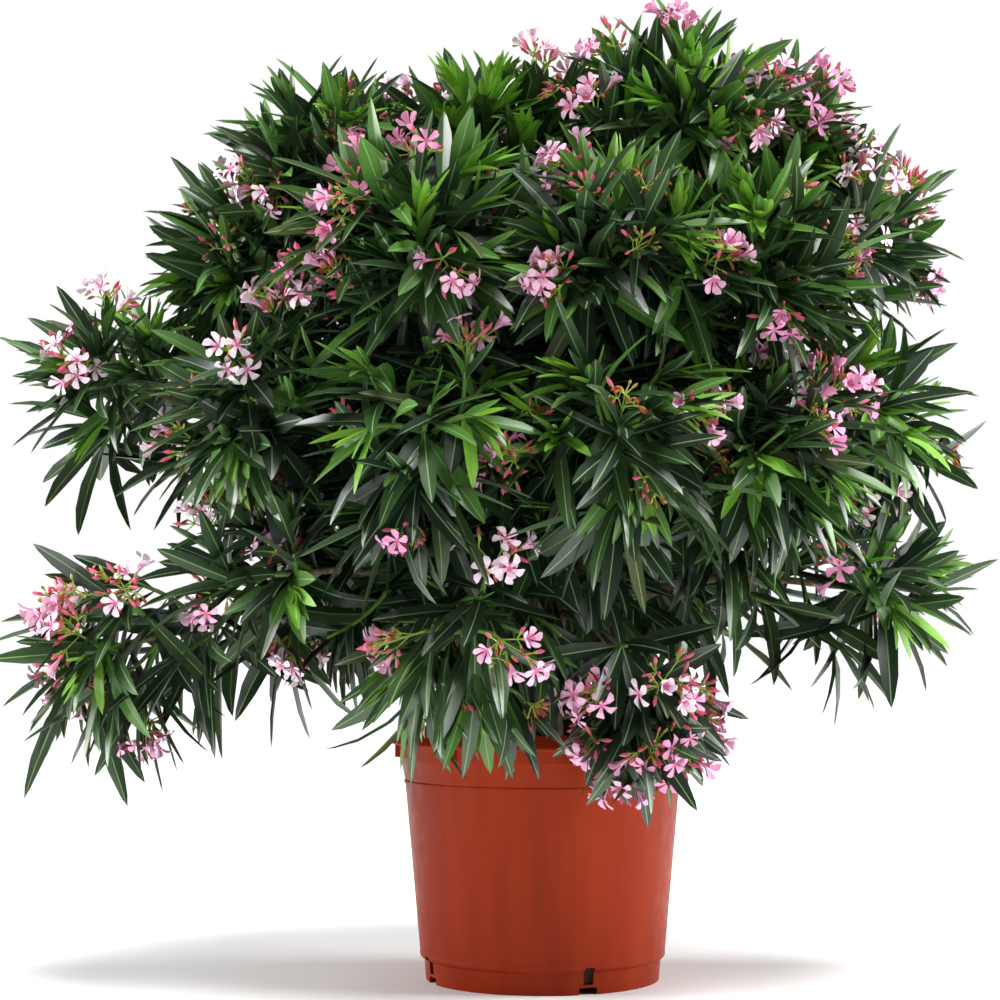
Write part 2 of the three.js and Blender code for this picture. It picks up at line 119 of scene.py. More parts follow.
def square_to(vectors: Array, axes: Array) -> Array:
    """Takes out of each vector what lies along its axis.

    Args:
        vectors: Rows of vectors, or one.
        axes: Unit vectors, one for each row.

    Returns:
        Unit vectors square to the axes.
    """
    return unit(vectors - np.sum(vectors * axes, axis=-1, keepdims=True) * axes)


@dataclass(frozen=True)
class Bezier:
    """A Bezier curve of any degree, in millimetres, on a plane or in space."""

    controls: Array

    def point(self, t: Array | float) -> Array:
        """Works out points of the curve.

        Args:
            t: Shares of the curve.

        Returns:
            The points there.
        """
        share = np.asarray(t, float)[..., None]
        points = [np.broadcast_to(c, share.shape[:-1] + c.shape) for c in self.controls]
        while len(points) > 1:
            points = [a + (b - a) * share for a, b in zip(points, points[1:])]
        return points[0]

    def tangent(self, t: Array | float) -> Array:
        """Returns the unit tangents at the given shares of the curve."""
        return unit(Bezier(np.diff(self.controls, axis=0)).point(t))

    def length(self) -> float:
        """Returns the curve's length, measured over short chords."""
        points = self.point(np.linspace(0, 1, CHORDS + 1))
        return float(np.sum(np.linalg.norm(np.diff(points, axis=0), axis=1)))

    def frames(self, t: Array) -> tuple[Array, Array, Array]:
        """Works out a frame at each share, with the normal kept near one side of the chord.

        Args:
            t: Shares of the curve.

        Returns:
            Rows of tangents, normals and binormals.
        """
        tangent = self.tangent(t)
        side = perpendicular(unit(self.point(1.0) - self.point(0.0)))
        normal = square_to(np.broadcast_to(side, tangent.shape), tangent)
        return tangent, normal, np.cross(tangent, normal)


# ------------ meshes from arrays


@dataclass
class Sheaf:
    """Many small closed shapes that are joined into one mesh, each face with its material slot."""

    points: list[Array] = field(default_factory=list)
    faces: dict[int, list[Array]] = field(default_factory=lambda: {3: [], 4: []})
    slots: dict[int, list[Array]] = field(default_factory=lambda: {3: [], 4: []})
    count: int = 0

    def add(self, points: Array, faces: Iterable[tuple[Array, Array | int]]) -> None:
        """Adds a shape.

        Args:
            points: Its corners, in millimetres.
            faces: Pairs of an index array of triangles or quads and the slot or slots of those faces.
        """
        for corners, slot in faces:
            size = corners.shape[1]
            self.faces[size].append(corners + self.count)
            self.slots[size].append(np.broadcast_to(np.asarray(slot), (len(corners),)))
        self.points.append(points)
        self.count += len(points)

    def build(self, name: str, materials: Sequence[bpy.types.Material], sharp: float) -> bpy.types.Object:
        """Makes the object, with its place in its mesh.

        Args:
            name: The piece's name.
            materials: One for each slot.
            sharp: Smooth shading breaks at edges past this angle, in degrees.

        Returns:
            The new object, linked to the scene.
        """
        mesh = bpy.data.meshes.new(name)
        rows = [(f, s) for size in (3, 4) for f, s in zip(self.faces[size], self.slots[size])]
        corners = np.concatenate([f.ravel() for f, _ in rows]).astype(np.int32)
        sizes = np.concatenate([np.full(len(f), f.shape[1]) for f, _ in rows])
        starts = np.concatenate([[0], np.cumsum(sizes)[:-1]]).astype(np.int32)
        points = np.concatenate(self.points) * MM
        mesh.vertices.add(len(points))
        mesh.vertices.foreach_set("co", points.astype(np.float32).ravel())
        mesh.loops.add(len(corners))
        mesh.loops.foreach_set("vertex_index", corners)
        mesh.polygons.add(len(sizes))
        mesh.polygons.foreach_set("loop_start", starts)
        mesh.polygons.foreach_set("material_index", np.concatenate([s for _, s in rows]).astype(np.int32))
        mesh.update(calc_edges=True)
        mesh.validate()
        for material in materials:
            mesh.materials.append(material)
        piece = bpy.data.objects.new(name, mesh)
        bpy.context.scene.collection.objects.link(piece)
        select_only(piece)
        bpy.ops.object.shade_smooth_by_angle(angle=math.radians(sharp))
        return piece


def select_only(piece: bpy.types.Object) -> None:
    """Selects one object and makes it the active one.

    Args:
        piece: The object.
    """
    bpy.ops.object.select_all(action="DESELECT")
    piece.select_set(True)
    bpy.context.view_layer.objects.active = piece


def ring_quads(sides: int, rings: int) -> Array:
    """Joins rings of points into quads that face outwards.

    Args:
        sides: Points in each ring, which run anticlockwise round the way the rings go.
        rings: How many rings follow each other.

    Returns:
        Index rows of four.
    """
    i, j = np.meshgrid(np.arange(rings - 1), np.arange(sides), indexing="ij")
    i, j = i.ravel(), j.ravel()
    k = (j + 1) % sides
    return np.stack([i * sides + j, i * sides + k, (i + 1) * sides + k, (i + 1) * sides + j], 1)


def ring_fan(sides: int, start: int, pole: int, ahead: bool) -> Array:
    """Closes a ring with triangles to a pole.

    Args:
        sides: Points in the ring.
        start: Index of its first point.
        pole: Index of the pole.
        ahead: True for the far end, False for the near end.

    Returns:
        Index rows of three.
    """
    j = np.arange(sides)
    k = (j + 1) % sides
    a, b = (j, k) if ahead else (k, j)
    return np.stack([start + a, start + b, np.full(sides, pole)], 1)


def tube(sheaf: Sheaf, curve: Bezier, radii: Array, sides: int, slot: int = 0) -> None:
    """Adds a closed tube along a curve.

    Args:
        sheaf: What it is added to.
        curve: Its centreline.
        radii: A radius for each ring, or for each point of each ring.
        sides: Points in each ring.
        slot: Its material slot.
    """
    rings = len(radii)
    t = np.linspace(0, 1, rings)
    tangent, normal, binormal = curve.frames(t)
    turn = np.arange(sides) / sides * FULL_TURN
    spokes = normal[:, None] * np.cos(turn)[None, :, None] + binormal[:, None] * np.sin(turn)[None, :, None]
    wide = np.broadcast_to(radii if np.ndim(radii) == 2 else np.asarray(radii)[:, None], (rings, sides))
    centre = curve.point(t)
    shell = (centre[:, None] + spokes * wide[..., None]).reshape(-1, 3)
    cap = float(np.mean(wide[-1])) * TIP_CAP
    poles = np.stack([centre[0], centre[-1] + tangent[-1] * cap])
    near = ring_fan(sides, 0, len(shell), False)
    far = ring_fan(sides, (rings - 1) * sides, len(shell) + 1, True)
    faces = [(ring_quads(sides, rings), slot), (np.concatenate([near, far]), slot)]
    sheaf.add(np.concatenate([shell, poles]), faces)


# ------------ finishes


def linear(code: str) -> tuple[float, float, float, float]:
    """Turns an sRGB hex colour such as #24481f to linear values.

    Args:
        code: The colour.

    Returns:
        Red, green, blue and alpha, linear.
    """
    values = [int(code[i : i + 2], 16) / 255 for i in (1, 3, 5)]
    return (*(v / 12.92 if v <= 0.04045 else ((v + 0.055) / 1.055) ** 2.4 for v in values), 1.0)


def add_node(
    material: bpy.types.Material | bpy.types.World,
    kind: str,
    inputs: dict | None = None,
    links: dict | None = None,
    **settings,
) -> bpy.types.Node:
    """Adds a node with its settings and links.

    Args:
        material: Whose tree it goes to.
        kind: The node's type.
        inputs: Values of its input sockets, by name or number.
        links: Output sockets that feed its inputs, by name or number.
        settings: Its own properties.

    Returns:
        The new node.
    """
    node = material.node_tree.nodes.new(kind)
    for name, value in settings.items():
        setattr(node, name, value)
    for name, value in (inputs or {}).items():
        node.inputs[name].default_value = value
    for name, source in (links or {}).items():
        material.node_tree.links.new(source, node.inputs[name])
    return node


def ramp(
    material: bpy.types.Material, source: bpy.types.NodeSocket, stops: Sequence[tuple[float, str]]
) -> bpy.types.NodeSocket:
    """Turns a value to a colour.

    Args:
        material: Whose tree it is in.
        source: The value's socket.
        stops: Pairs of a place from 0 to 1 and a hex colour.

    Returns:
        The colour's socket.
    """
    node = add_node(material, "ShaderNodeValToRGB", links={"Fac": source})
    elements = node.color_ramp.elements
    while len(elements) < len(stops):
        elements.new(0.5)
    for element, (place, code) in zip(elements, stops):
        element.position, element.color = place, linear(code)
    return node.outputs["Color"]


@dataclass(frozen=True)
class Finish:
    """A surface with one colour: what it is made of, by its name, and how it takes the light."""

    name: str
    colour: str
    roughness: float
    specular: float = 0.5
    sheen: float = 0.0

    def shader(self) -> tuple[bpy.types.Material, bpy.types.Node]:
        """Makes the material with its shader and constants.

        Returns:
            The material and its shader.
        """
        material = bpy.data.materials.new(self.name)
        material.use_nodes = True
        material.node_tree.nodes.clear()
        inputs = {
            "Base Color": linear(self.colour),
            "Roughness": self.roughness,
            "Specular IOR Level": self.specular,
            "Sheen Weight": self.sheen,
        }
        shader = add_node(material, "ShaderNodeBsdfPrincipled", inputs)
        add_node(material, "ShaderNodeOutputMaterial", links={"Surface": shader.outputs[0]})
        return material, shader

    def make(self) -> bpy.types.Material:
        """Returns the material, as it is on leaves and blossom that are too small to bear a pattern."""
        return self.shader()[0]


@dataclass(frozen=True)
class PlasticFinish(Finish):
    """Injection-moulded polypropylene: satin, with faint upright flow marks and a fine grain."""

    dark: str = "#84270c"
    light: str = "#912f10"
    flow: float = 0.03  # metres between flow marks
    marks: float = 0.015  # metres between handling marks
    grain: float = 0.0015  # metres between the grain's pits

    def make(self) -> bpy.types.Material:
        """Makes the surface with its flow marks, handling marks and fine grain.

        Returns:
            The material.
        """
        material, shader = self.shader()
        tree = material.node_tree
        place = add_node(material, "ShaderNodeTexCoord").outputs["Object"]
        # Flow marks are ten times as long upright as they are far apart.
        tall = add_node(material, "ShaderNodeMapping", {"Scale": (1, 1, 0.1)}, {"Vector": place})
        scale = {"Scale": 1 / self.flow, "Detail": 3.0}
        flow = add_node(material, "ShaderNodeTexNoise", scale, {"Vector": tall.outputs[0]})
        stops = [(0.3, self.dark), (0.5, self.colour), (0.7, self.light)]
        tree.links.new(ramp(material, flow.outputs["Fac"], stops), shader.inputs["Base Color"])
        # Handling marks change how satin the surface is.
        scale = {"Scale": 1 / self.marks, "Detail": 4.0}
        marks = add_node(material, "ShaderNodeTexNoise", scale, {"Vector": place})
        span = {
            "From Min": 0.3,
            "From Max": 0.7,
            "To Min": self.roughness - 0.06,
            "To Max": self.roughness + 0.1,
        }
        rough = add_node(material, "ShaderNodeMapRange", span, {"Value": marks.outputs["Fac"]})
        tree.links.new(rough.outputs["Result"], shader.inputs["Roughness"])
        # The mould's spark-eroded grain, drawn 1.5 mm wide so that it shows.
        scale = {"Scale": 1 / self.grain, "Detail": 1.0}
        grain = add_node(material, "ShaderNodeTexNoise", scale, {"Vector": place})
        depth = {"Strength": 0.12, "Distance": 0.2 * MM}
        bump = add_node(material, "ShaderNodeBump", depth, {"Height": grain.outputs["Fac"]})
        tree.links.new(bump.outputs[0], shader.inputs["Normal"])
        return material


@dataclass(frozen=True)
class GrainFinish(Finish):
    """A rough natural surface, bark or potting mix, mottled between a dark and a light colour."""

    dark: str = "#000000"
    light: str = "#ffffff"
    grain: float = 0.006  # metres between flecks
    stretch: float = 1.0  # below 1 draws the flecks out upright
    relief: float = 0.0008  # metres

    def make(self) -> bpy.types.Material:
        """Makes the surface with its flecks and relief.

        Returns:
            The material.
        """
        material, shader = self.shader()
        tree = material.node_tree
        place = add_node(material, "ShaderNodeTexCoord").outputs["Object"]
        drawn = add_node(material, "ShaderNodeMapping", {"Scale": (1, 1, self.stretch)}, {"Vector": place})
        scale = {"Scale": 1 / self.grain, "Detail": 5.0, "Roughness": 0.65}
        flecks = add_node(material, "ShaderNodeTexNoise", scale, {"Vector": drawn.outputs[0]})
        stops = [(0.3, self.dark), (0.5, self.colour), (0.7, self.light)]
        tree.links.new(ramp(material, flecks.outputs["Fac"], stops), shader.inputs["Base Color"])
        depth = {"Strength": 0.6, "Distance": self.relief}
        bump = add_node(material, "ShaderNodeBump", depth, {"Height": flecks.outputs["Fac"]})
        tree.links.new(bump.outputs[0], shader.inputs["Normal"])
        return material


# Leathery oleander leaves: a thin wax makes the upper side satin and gives it pale lights.
LEAF_DARK = Finish("leaf_old_waxed", "#1b2e1e", 0.33, 0.75)
LEAF_MIDDLE = Finish("leaf_grown_waxed", "#2f4c23", 0.33, 0.72)
LEAF_FRESH = Finish("leaf_fresh_waxed", "#4a772c", 0.36, 0.62)
LEAF_YOUNG = Finish("leaf_young_soft", "#7bb531", 0.42, 0.5)
LEAF_AGED = Finish("leaf_ageing_dull", "#46502a", 0.5, 0.4)  # olive, before it falls
LEAF_UNDER = Finish("leaf_underside_matt", "#324b2c", 0.46, 0.45)  # grey-green and dull
MIDRIB = Finish("leaf_midrib_pale", "#7d9a66", 0.42, 0.4)
# Petals are thin and silky, without gloss. Buds, calyces and stalks are smooth and take a weak light.
PETAL_PALE = Finish("petal_palest_pink", "#f6e1ee", 0.6, 0.3, sheen=0.3)
PETAL_PINK = Finish("petal_soft_pink", "#eebbd6", 0.6, 0.3, sheen=0.3)
PETAL_ROSE = Finish("petal_rose_pink", "#e395be", 0.6, 0.3, sheen=0.3)
THROAT = Finish("petal_throat_carmine", "#da76a2", 0.6, 0.3)
BUD = Finish("bud_deep_rose", "#d6607c", 0.5, 0.4)
BUD_GREEN = Finish("bud_unripe_green", "#a3b44c", 0.5, 0.4)
CALYX = Finish("calyx_reddish_green", "#a3883f", 0.5, 0.4)
SPENT = Finish("blossom_spent_dry", "#9c4f34", 0.8, 0.2)
STALK = Finish("flower_stalk_green", "#a0ba50", 0.5, 0.4)
SHOOT = Finish("shoot_green_smooth", "#5f8a3a", 0.5, 0.4)
# Smooth grey-brown bark with fine upright cracks, matt.
BARK = GrainFinish(
    "oleander_bark_weathered", "#6d6046", 0.82, 0.3, dark="#4a4131", light="#8c8063", stretch=0.25
)
# Composted bark and peat: crumbly, dull, nearly black where it is damp.
MIX = GrainFinish(
    "potting_mix_composted", "#33261c", 0.95, 0.2, dark="#1c140e", light="#54402e", grain=0.005, relief=0.002
)
CHIP = GrainFinish("bark_chip_composted", "#5a412b", 0.9, 0.2, dark="#38281a", light="#7b5c3e", grain=0.004)
# Polypropylene as it comes from the mould: satin, so that the lamps draw soft bands on it.
PLASTIC = PlasticFinish("pot_polypropylene_moulded", "#8c2a0c", 0.42, 0.1)
# Matt white paper, which takes soft shadows.
PAPER = Finish("floor_paper_matt", "#f8f8f8", 0.9, 0.1)


# ------------ the plan of the crown


class Tone(Enum):
    """Colours that a spray's petals have."""

    PALE = 0
    PINK = 1
    ROSE = 2


class Region(Enum):
    """Parts of the crown whose leaves are joined into one piece."""

    TOP_LEFT = "top_left"
    TOP_RIGHT = "top_right"
    LEFT = "left"
    FRONT = "front"
    RIGHT = "right"
    BACK = "back"


@dataclass(frozen=True)
class Mass:
    """A mass of foliage: where its shoot tips are, and how its leaves and blossom are."""

    at: tuple[float, float, float]  # centre of its shoot tips
    reach: tuple[float, float, float]  # their half-extents
    region: Region
    tone: Tone
    leaf: float  # length of its leaves, as a share of the full one
    droop: float  # how far leaves hang
    bloom: float  # share of the coarse twigs in flower
    full: float = 1.0  # share of the usual number of finer shoots
    young: float = 0.5  # share of the leafy shoots with bright young tips
    crowd: float = 1.0  # how much more of its finer shoots flower than usual
    lean: tuple[float, float] = (0.0, 0.0)  # how far its finer tips lie to the right and higher
    widest: float = -0.25  # cosine of the widest angle between a fine tip and the heading

    HEART: ClassVar[tuple[float, float, float]] = (-20.0, 0.0, 560.0)  # the masses head away from here
    ENTRY: ClassVar[float] = 0.62  # a limb ends this share of the least half-extent short of the centre

    @property
    def centre(self) -> Array:
        """The centre as an array."""
        return np.array(self.at, float)

    @property
    def half(self) -> Array:
        """The half-extents as an array."""
        return np.array(self.reach, float)

    @property
    def heading(self) -> Array:
        """The way the mass faces, out of the crown."""
        return unit(self.centre - np.array(self.HEART))

    @property
    def entry(self) -> Array:
        """Where its limb ends."""
        return self.centre - self.heading * self.ENTRY * min(self.reach)


MASSES = {
    "top_left": Mass(
        (-252, -100, 1050), (100, 115, 90), Region.TOP_LEFT, Tone.PALE,
        leaf=0.95, droop=0.05, bloom=0.3, young=0.75, lean=(-30, 0),
    ),
    "top_left_back": Mass(
        (-215, 165, 1025), (120, 120, 105), Region.TOP_LEFT, Tone.PINK,
        leaf=1, droop=0.05, bloom=0.3,
    ),
    "top_centre": Mass(
        (-75, -30, 1085), (110, 110, 80), Region.TOP_LEFT, Tone.PALE,
        leaf=0.9, droop=0.05, bloom=0.2, young=0.85, lean=(18, 26),
    ),
    "top_right": Mass(
        (168, -95, 1120), (110, 115, 90), Region.TOP_RIGHT, Tone.PINK,
        leaf=0.95, droop=0.05, bloom=0.35, young=0.8, crowd=2.0, lean=(-8, -6),
    ),
    "top_right_outer": Mass(
        (308, 50, 1090), (100, 118, 85), Region.TOP_RIGHT, Tone.ROSE,
        leaf=0.9, droop=0.1, bloom=0.8, crowd=2.2, lean=(-12, 24),
    ),
    "top_right_back": Mass(
        (115, 190, 1050), (130, 115, 105), Region.TOP_RIGHT, Tone.ROSE,
        leaf=1, droop=0.05, bloom=0.4,
    ),
    "left_upper": Mass(
        (-385, -25, 925), (90, 120, 95), Region.LEFT, Tone.PALE,
        leaf=0.95, droop=0.12, bloom=0.55, crowd=1.4, lean=(8, 20),
    ),
    "left_arm": Mass(
        (-512, -45, 774), (92, 115, 80), Region.LEFT, Tone.PALE,
        leaf=0.95, droop=0.06, bloom=0.5, full=0.85, crowd=1.3, lean=(-24, 0),
    ),
    "left_low_arm": Mass(
        (-518, -65, 446), (110, 112, 84), Region.LEFT, Tone.PINK,
        leaf=1.18, droop=0.55, bloom=0.8, full=0.6, crowd=1.6, lean=(-8, 10), widest=0.3,
    ),
    "front_upper_left": Mass(
        (-155, -270, 930), (125, 95, 110), Region.TOP_LEFT, Tone.ROSE,
        leaf=1, droop=0.15, bloom=0.4, young=0.65, crowd=1.5,
    ),
    "front_upper_right": Mass(
        (75, -285, 915), (115, 95, 110), Region.TOP_RIGHT, Tone.PINK,
        leaf=1, droop=0.15, bloom=0.5, young=0.8,
    ),
    "right_front_upper": Mass(
        (255, -215, 920), (105, 100, 100), Region.TOP_RIGHT, Tone.PINK,
        leaf=1, droop=0.15, bloom=0.35, young=0.6,
    ),
    "right_upper_arm": Mass(
        (400, 10, 960), (84, 115, 72), Region.RIGHT, Tone.PALE,
        leaf=0.9, droop=0.1, bloom=0.7, crowd=2.1, full=0.85, lean=(14, 42),
    ),
    "right_middle": Mass(
        (400, -65, 722), (85, 120, 95), Region.RIGHT, Tone.PINK,
        leaf=0.95, droop=0.3, bloom=0.5, young=0.6, crowd=1.4, full=0.8, lean=(22, 0),
    ),
    # Few young tips, so mostly dark leaves: older leaves, and also painted shade for the shadow that the
    # masses above cast on this part of the crown.
    "left_front_middle": Mass(
        (-335, -205, 730), (105, 100, 115), Region.LEFT, Tone.PALE,
        leaf=1, droop=0.3, bloom=0.3, full=0.8, young=0.15,
    ),
    # Few young tips, so mostly dark leaves: older leaves, and also painted shade for the shadow that the
    # masses above cast on this part of the crown.
    "front_middle_left": Mass(
        (-140, -325, 690), (115, 90, 110), Region.FRONT, Tone.PINK,
        leaf=1, droop=0.4, bloom=0.15, full=0.65, young=0.15,
    ),
    "front_middle_right": Mass(
        (80, -335, 690), (110, 90, 110), Region.FRONT, Tone.PINK,
        leaf=1, droop=0.4, bloom=0.4, full=0.85, young=0.3, crowd=1.5,
    ),
    "right_front_middle": Mass(
        (265, -240, 670), (100, 95, 100), Region.FRONT, Tone.PINK,
        leaf=1, droop=0.35, bloom=0.4, full=0.85, lean=(0, 12),
    ),
    "left_low_front": Mass(
        (-305, -190, 530), (90, 95, 65), Region.LEFT, Tone.PALE,
        leaf=0.9, droop=0.15, bloom=0.7, full=0.8, lean=(-18, 42),
    ),
    "front_low": Mass(
        (-90, -290, 462), (90, 75, 80), Region.FRONT, Tone.PINK,
        leaf=1.16, droop=0.72, bloom=0.6, full=0.62, young=0.7, lean=(0, -26),
    ),
    "front_low_right": Mass(
        (105, -255, 392), (62, 50, 55), Region.FRONT, Tone.PINK,
        leaf=0.95, droop=0.55, bloom=0.9, full=0.9, crowd=2.1, lean=(12, -30),
    ),
    "right_low_arm": Mass(
        (410, -30, 514), (92, 110, 48), Region.RIGHT, Tone.ROSE,
        leaf=1.08, droop=0.14, bloom=0.4, full=0.7, young=0.25, lean=(6, 14),
    ),
    "back_left": Mass(
        (-350, 230, 790), (110, 110, 125), Region.BACK, Tone.PINK,
        leaf=1, droop=0.25, bloom=0.4,
    ),
    "back_centre": Mass(
        (-70, 360, 800), (130, 95, 130), Region.BACK, Tone.PALE,
        leaf=1, droop=0.3, bloom=0.4,
    ),
    "back_right": Mass(
        (245, 270, 780), (120, 105, 125), Region.BACK, Tone.PINK,
        leaf=1, droop=0.25, bloom=0.4, full=0.85, lean=(-35, -10),
    ),
    "back_low_left": Mass(
        (-225, 260, 535), (110, 90, 80), Region.BACK, Tone.PINK,
        leaf=1, droop=0.3, bloom=0.5, young=0.2,
    ),
    "back_low_right": Mass(
        (150, 290, 530), (110, 85, 80), Region.BACK, Tone.ROSE,
        leaf=0.95, droop=0.3, bloom=0.5, young=0.2,
    ),
}
FIRST_SEED, SEED_STEP = 101, 37
SEEDS = {name: FIRST_SEED + index * SEED_STEP for index, name in enumerate(MASSES)}

# Each stem's foot: its distance from the middle, and its azimuth in degrees. The stem ends in the mass of its
# name.
STEMS = {
    "top_left": (38, 196),
    "top_left_back": (58, 138),
    "top_centre": (4, 0),
    "top_right": (44, -32),
    "top_right_back": (50, 66),
    "left_upper": (84, 176),
    "left_arm": (82, 206),
    "right_upper_arm": (86, 4),
    "right_middle": (86, -34),
    "front_middle_left": (84, 240),
    "front_middle_right": (78, -82),
    "back_centre": (84, 98),
}

# The stem that a bough leaves, and how far along it. The bough ends in the mass of its name.
BOUGHS = {
    "front_upper_left": ("top_left", 0.5),
    "front_upper_right": ("top_centre", 0.5),
    "top_right_outer": ("top_right", 0.62),
    "right_front_upper": ("top_right", 0.42),
    "left_front_middle": ("left_upper", 0.45),
    "left_low_arm": ("left_arm", 0.35),
    "right_low_arm": ("right_middle", 0.35),
    "right_front_middle": ("right_middle", 0.55),
    "left_low_front": ("front_middle_left", 0.3),
    "front_low": ("front_middle_left", 0.55),
    "front_low_right": ("front_middle_right", 0.35),
    "back_left": ("top_left_back", 0.5),
    "back_right": ("top_right_back", 0.5),
    "back_low_left": ("back_centre", 0.3),
    "back_low_right": ("back_centre", 0.5),
}


@dataclass(frozen=True)
class LimbForm:
    """Radii and bend of a kind of limb, in millimetres and shares of its length."""

    foot: float  # radius, without the flare
    tip: float  # radius
    rise: float  # how far it goes on the way it sets out
    arrive: float  # how far it goes on the way it comes in
    flare: float  # how much thicker the foot is
    flare_rate: float = 16.0  # how fast the flare fades

    def radius(self, t: Array | float) -> Array:
        """Returns the radius at the given shares of the limb."""
        share = np.asarray(t, float)
        return self.foot + (self.tip - self.foot) * share + self.flare * np.exp(-self.flare_rate * share)


STEM_FORM = LimbForm(foot=13, tip=6.4, rise=0.42, arrive=0.3, flare=6)
BOUGH_FORM = LimbForm(foot=6, tip=4.6, rise=0.35, arrive=0.3, flare=2.5, flare_rate=24)


@dataclass
class Limb:
    """A stem or bough: its kind and its centreline."""

    form: LimbForm
    curve: Bezier


class Kind(Enum):
    """What a shoot carries at its tip."""

    LEAFY = 0
    YOUNG = 1
    BUDDED = 2
    FLOWERING = 3
    INNER = 4


@dataclass
class Shoot:
    """A twig of the crown. A bearer carries other shoots and has old leaves on its lower part."""

    curve: Bezier
    mass: Mass
    kind: Kind
    seed: int
    bearer: bool = False


# ------------ the nursery pot


@dataclass
class NurseryPot:
    """The pot: a spun wall with foot ring, bead, collar and sloping lip, cut by drain slots."""

    segments: int = 160
    foot_radius: float = 153.3
    height: float = 327.0
    plate_under: float = 9.0
    plate_top: float = 12.5
    boss_radius: float = 36.0
    slots: int = 4
    slot_start: float = -69.0  # degrees
    slot_width: float = 13.6
    slot_top: float = 35.0
    slot_reach: float = 14.0  # how far its cutter goes to both sides of the foot's radius
    slot_rounding: float = 2.0
    notch_width: float = 25.0
    notch_below: float = -6.0  # where its cutter starts
    ribs: int = 8
    rib_start: float = -81.4  # degrees
    rib_width: float = 3.0
    rib_across: tuple[float, float] = (187.5, 196.0)  # radii
    rib_along: tuple[float, float] = (291.5, 308.9)  # heights
    rib_rounding: float = 0.7
    side_share: float = 0.45  # the most of a side of the section that a rounding takes
    seam: float = 0.02  # points of the spun wall that are closer than this are merged
    sharp: float = 32.0  # degrees, past which an edge shows
    # Radius and height of each corner of the lining.
    inside: tuple[tuple[float, float], ...] = (
        (149.6, 12.5),
        (152.8, 31),
        (158.4, 36),
        (178.8, 261),
        (184, 290),
    )

    def outline(self) -> list[tuple[float, float, float]]:
        """Lays out the wall's section.

        Returns:
            Radius, height and rounding of each corner, from the underside's middle round to the base plate.
        """
        foot, under = self.foot_radius, self.plate_under
        underside = [
            (0, 0, 0),
            (self.boss_radius, 0, 1),
            (self.boss_radius + 3, under, 1),
            (foot - 6, under, 1),
            (foot - 3, 0, 0.8),
            (foot, 0, 1.0),
        ]
        body = [
            (155.7, 28.5, 1.2),
            (160.6, 31.0, 1.6),
            (161.8, 34.5, 1.6),
            (161.4, 38.0, 1.0),
            (181.0, 256.0, 0.5),
            (182.6, 257.2, 0.6),
            (182.7, 260.6, 0.6),
            (181.6, 261.8, 0.4),
            (187.0, 289.0, 1.2),
        ]
        rim = [
            (190.4, 290.8, 2.2),
            (191.0, 308.0, 1.0),
            (199.4, 308.6, 1.4),
            (199.2, 312.0, 1.4),
            (188.8, 325.4, 1.6),
            (187.2, self.height, 0.9),
            (184.4, self.height, 0.9),
        ]
        lining = [(radius, height, 1.0) for radius, height in reversed(self.inside)]
        return [*underside, *body, *rim, *lining, (0, self.plate_top, 0)]

    def section(self, steps: int = 4) -> Array:
        """Rounds the outline's corners.

        Args:
            steps: Chords in each rounding.

        Returns:
            Rows of radius and height, in millimetres.
        """
        corners = np.array(self.outline())
        points = [corners[0, :2]]
        for before, corner, after in zip(corners, corners[1:], corners[2:]):
            here, rounding = corner[:2], corner[2]
            back, on = before[:2] - here, after[:2] - here
            reach = min(rounding, *(self.side_share * np.linalg.norm(side) for side in (back, on)))
            if reach <= 0:
                points.append(here)
                continue
            bend = Bezier(np.array([here + unit(back) * reach, here, here + unit(on) * reach]))
            points.extend(bend.point(np.linspace(0, 1, steps + 1)))
        points.append(corners[-1, :2])
        return np.array(points)

    def spin(self) -> bpy.types.Object:
        """Spins the section into the closed wall, and merges the seam and the poles.

        Returns:
            The pot's shell, without its slots.
        """
        section = self.section()
        mesh = bpy.data.meshes.new("pot_shell")
        points = [(radius * MM, 0.0, height * MM) for radius, height in section]
        mesh.from_pydata(points, [(i, i + 1) for i in range(len(points) - 1)], [])
        shell = bpy.data.objects.new("pot_shell", mesh)
        bpy.context.scene.collection.objects.link(shell)
        select_only(shell)
        bpy.ops.object.mode_set(mode="EDIT")
        bpy.ops.mesh.select_all(action="SELECT")
        bpy.ops.mesh.spin(steps=self.segments, angle=FULL_TURN, center=(0, 0, 0), axis=(0, 0, 1))
        bpy.ops.mesh.select_all(action="SELECT")
        bpy.ops.mesh.remove_doubles(threshold=self.seam * MM)
        bpy.ops.mesh.normals_make_consistent(inside=False)
        bpy.ops.object.mode_set(mode="OBJECT")
        return shell

    def block(
        self,
        azimuth: float,
        width: float,
        across: tuple[float, float],
        along: tuple[float, float],
        rounding: float,
    ) -> bpy.types.Object:
        """Makes a bevelled block that is set across the wall.

        Args:
            azimuth: Where it stands, in degrees.
            width: Its width round the pot.
            across: The radii it runs between.
            along: The heights it runs between.
            rounding: The width of its bevels.

        Returns:
            The block's object.
        """
        bpy.ops.object.select_all(action="DESELECT")
        bpy.ops.mesh.primitive_cube_add(size=1)
        block = bpy.context.active_object
        depth, tall = across[1] - across[0], along[1] - along[0]
        bpy.ops.object.mode_set(mode="EDIT")
        bpy.ops.transform.resize(value=(depth * MM, width * MM, tall * MM))
        bpy.ops.transform.translate(value=(sum(across) / 2 * MM, 0.0, sum(along) / 2 * MM))
        bpy.ops.mesh.bevel(offset=rounding * MM, segments=3, affect="EDGES")
        bpy.ops.object.mode_set(mode="OBJECT")
        block.rotation_euler = (0, 0, math.radians(azimuth))
        bpy.ops.object.transform_apply(location=True, rotation=True, scale=True)
        return block

    def cut(self, shell: bpy.types.Object, tool: bpy.types.Object) -> None:
        """Cuts a tool out of the shell, and removes the tool.

        Args:
            shell: What is cut.
            tool: What is cut out of it.
        """
        cutter = shell.modifiers.new("cut", "BOOLEAN")
        cutter.operation, cutter.solver, cutter.object = "DIFFERENCE", "EXACT", tool
        select_only(shell)
        bpy.ops.object.modifier_apply(modifier=cutter.name)
        bpy.data.objects.remove(tool)

